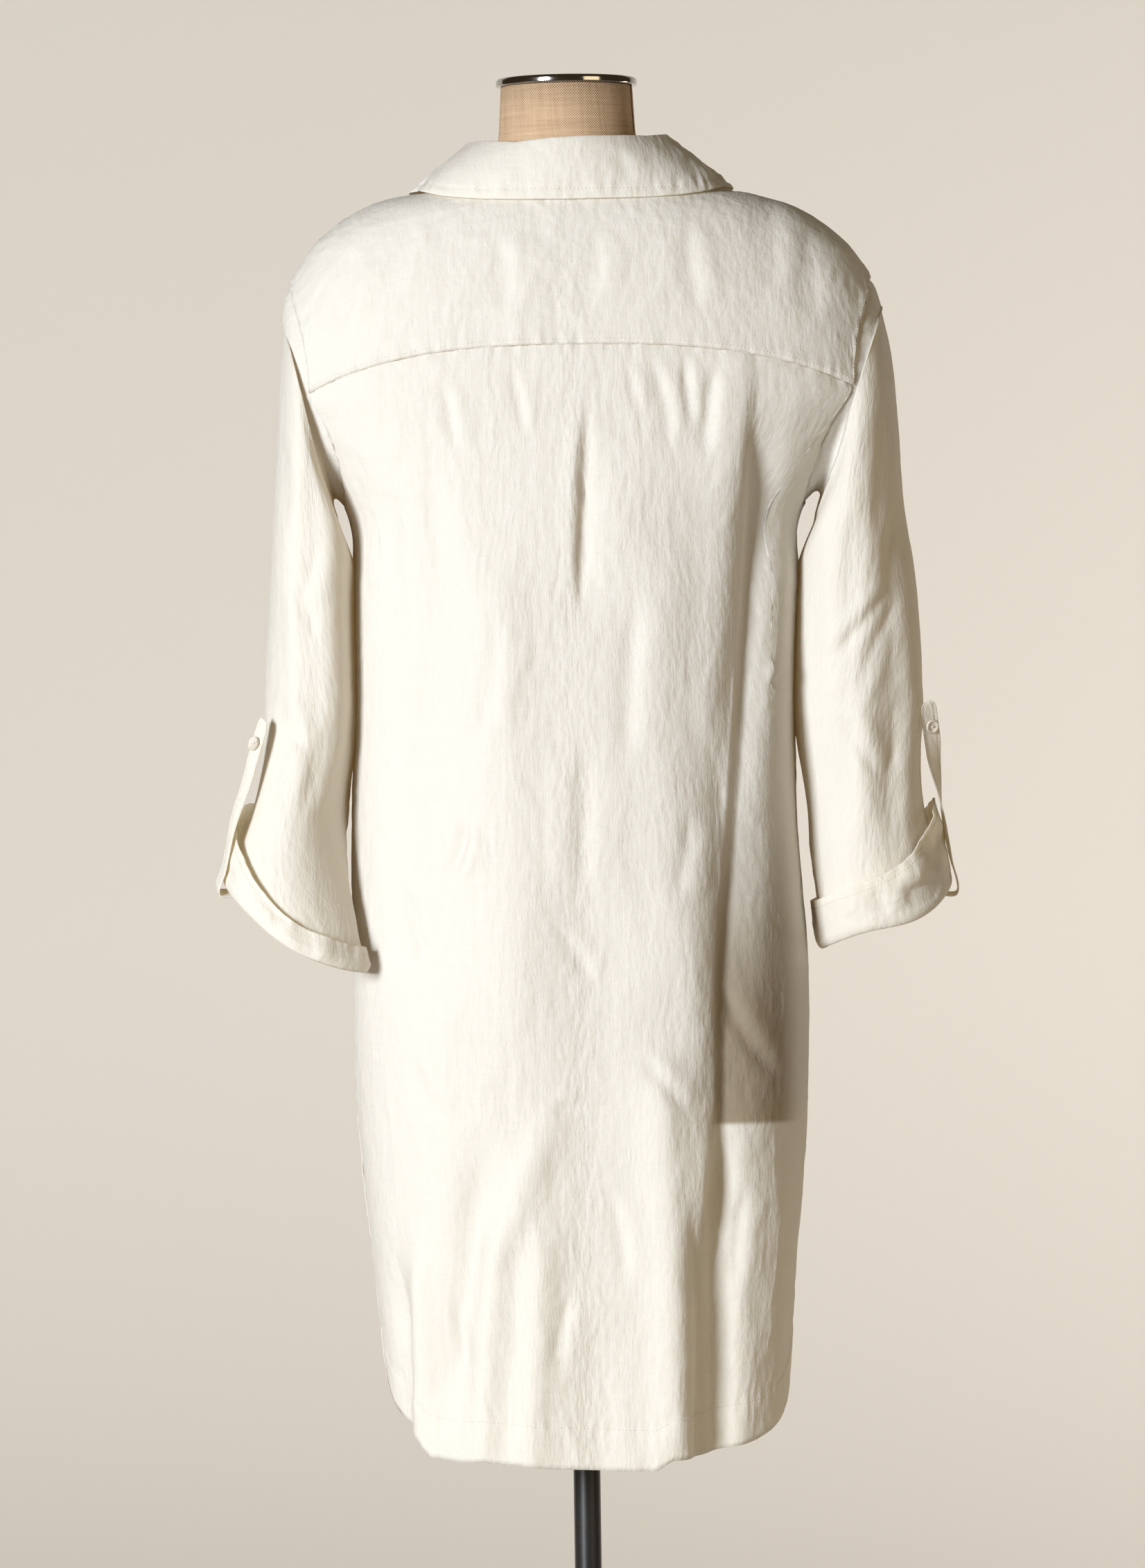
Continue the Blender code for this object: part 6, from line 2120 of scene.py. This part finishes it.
class TUNIC_OT_sleeves(bpy.types.Operator):
    """Make both sleeves with their turned-up cuffs and tabs"""

    bl_idname = "tunic.sleeves"
    bl_label = "Sleeves"

    def execute(self, context):
        for side in SLEEVES:
            make_sleeve_cloth(side)
            make_cuff_cloth(side)
            make_tab_cloth(side)
        return {"FINISHED"}


class TUNIC_OT_buttons(bpy.types.Operator):
    """Make the buttons with their threads"""

    bl_idname = "tunic.buttons"
    bl_label = "Buttons"

    def execute(self, context):
        for node in sorted(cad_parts):
            if "button" in node:
                make_button(node)
        return {"FINISHED"}


class TUNIC_OT_stitches(bpy.types.Operator):
    """Sew the rows of stitches on the finished cloth"""

    bl_idname = "tunic.stitches"
    bl_label = "Stitches"

    def execute(self, context):
        make_stitches()
        return {"FINISHED"}


class TUNIC_OT_form(bpy.types.Operator):
    """Make the dress form's linen cover, its neck cap, pole and base"""

    bl_idname = "tunic.form"
    bl_label = "Dress form"

    def execute(self, context):
        make_form()
        make_stand()
        return {"FINISHED"}


class TUNIC_OT_studio(bpy.types.Operator):
    """Make the floor, the backdrop, the lights and the camera"""

    bl_idname = "tunic.studio"
    bl_label = "Studio"

    def execute(self, context):
        make_studio()
        return {"FINISHED"}


OPERATORS = (
    TUNIC_OT_body,
    TUNIC_OT_collar,
    TUNIC_OT_sleeves,
    TUNIC_OT_buttons,
    TUNIC_OT_stitches,
    TUNIC_OT_form,
    TUNIC_OT_studio,
)


class TUNIC_PT_panel(bpy.types.Panel):
    """Sidebar panel of the tunic's sizes, colours, studio and operators"""

    bl_label = "Linen tunic top"
    bl_idname = "TUNIC_PT_panel"
    bl_space_type = "VIEW_3D"
    bl_region_type = "UI"
    bl_category = "Tunic"

    def draw(self, context):
        scene = context.scene
        for group in (scene.tunic_sizes, scene.tunic_colours, scene.tunic_studio):
            box = self.layout.box()
            for name in group.__annotations__:
                box.prop(group, name)
        for operator in OPERATORS:
            self.layout.operator(operator.bl_idname)


CLASSES = (TunicSizes, TunicColours, TunicStudio, *OPERATORS, TUNIC_PT_panel)


def register():
    for made in CLASSES:
        bpy.utils.register_class(made)
    bpy.types.Scene.tunic_sizes = bpy.props.PointerProperty(type=TunicSizes)
    bpy.types.Scene.tunic_colours = bpy.props.PointerProperty(type=TunicColours)
    bpy.types.Scene.tunic_studio = bpy.props.PointerProperty(type=TunicStudio)


def unregister():
    del bpy.types.Scene.tunic_sizes
    del bpy.types.Scene.tunic_colours
    del bpy.types.Scene.tunic_studio
    for made in reversed(CLASSES):
        bpy.utils.unregister_class(made)


def main():
    register()
    for operator in OPERATORS:
        getattr(bpy.ops.tunic, operator.bl_idname.split(".")[1])()


if __name__ == "__main__":
    main()
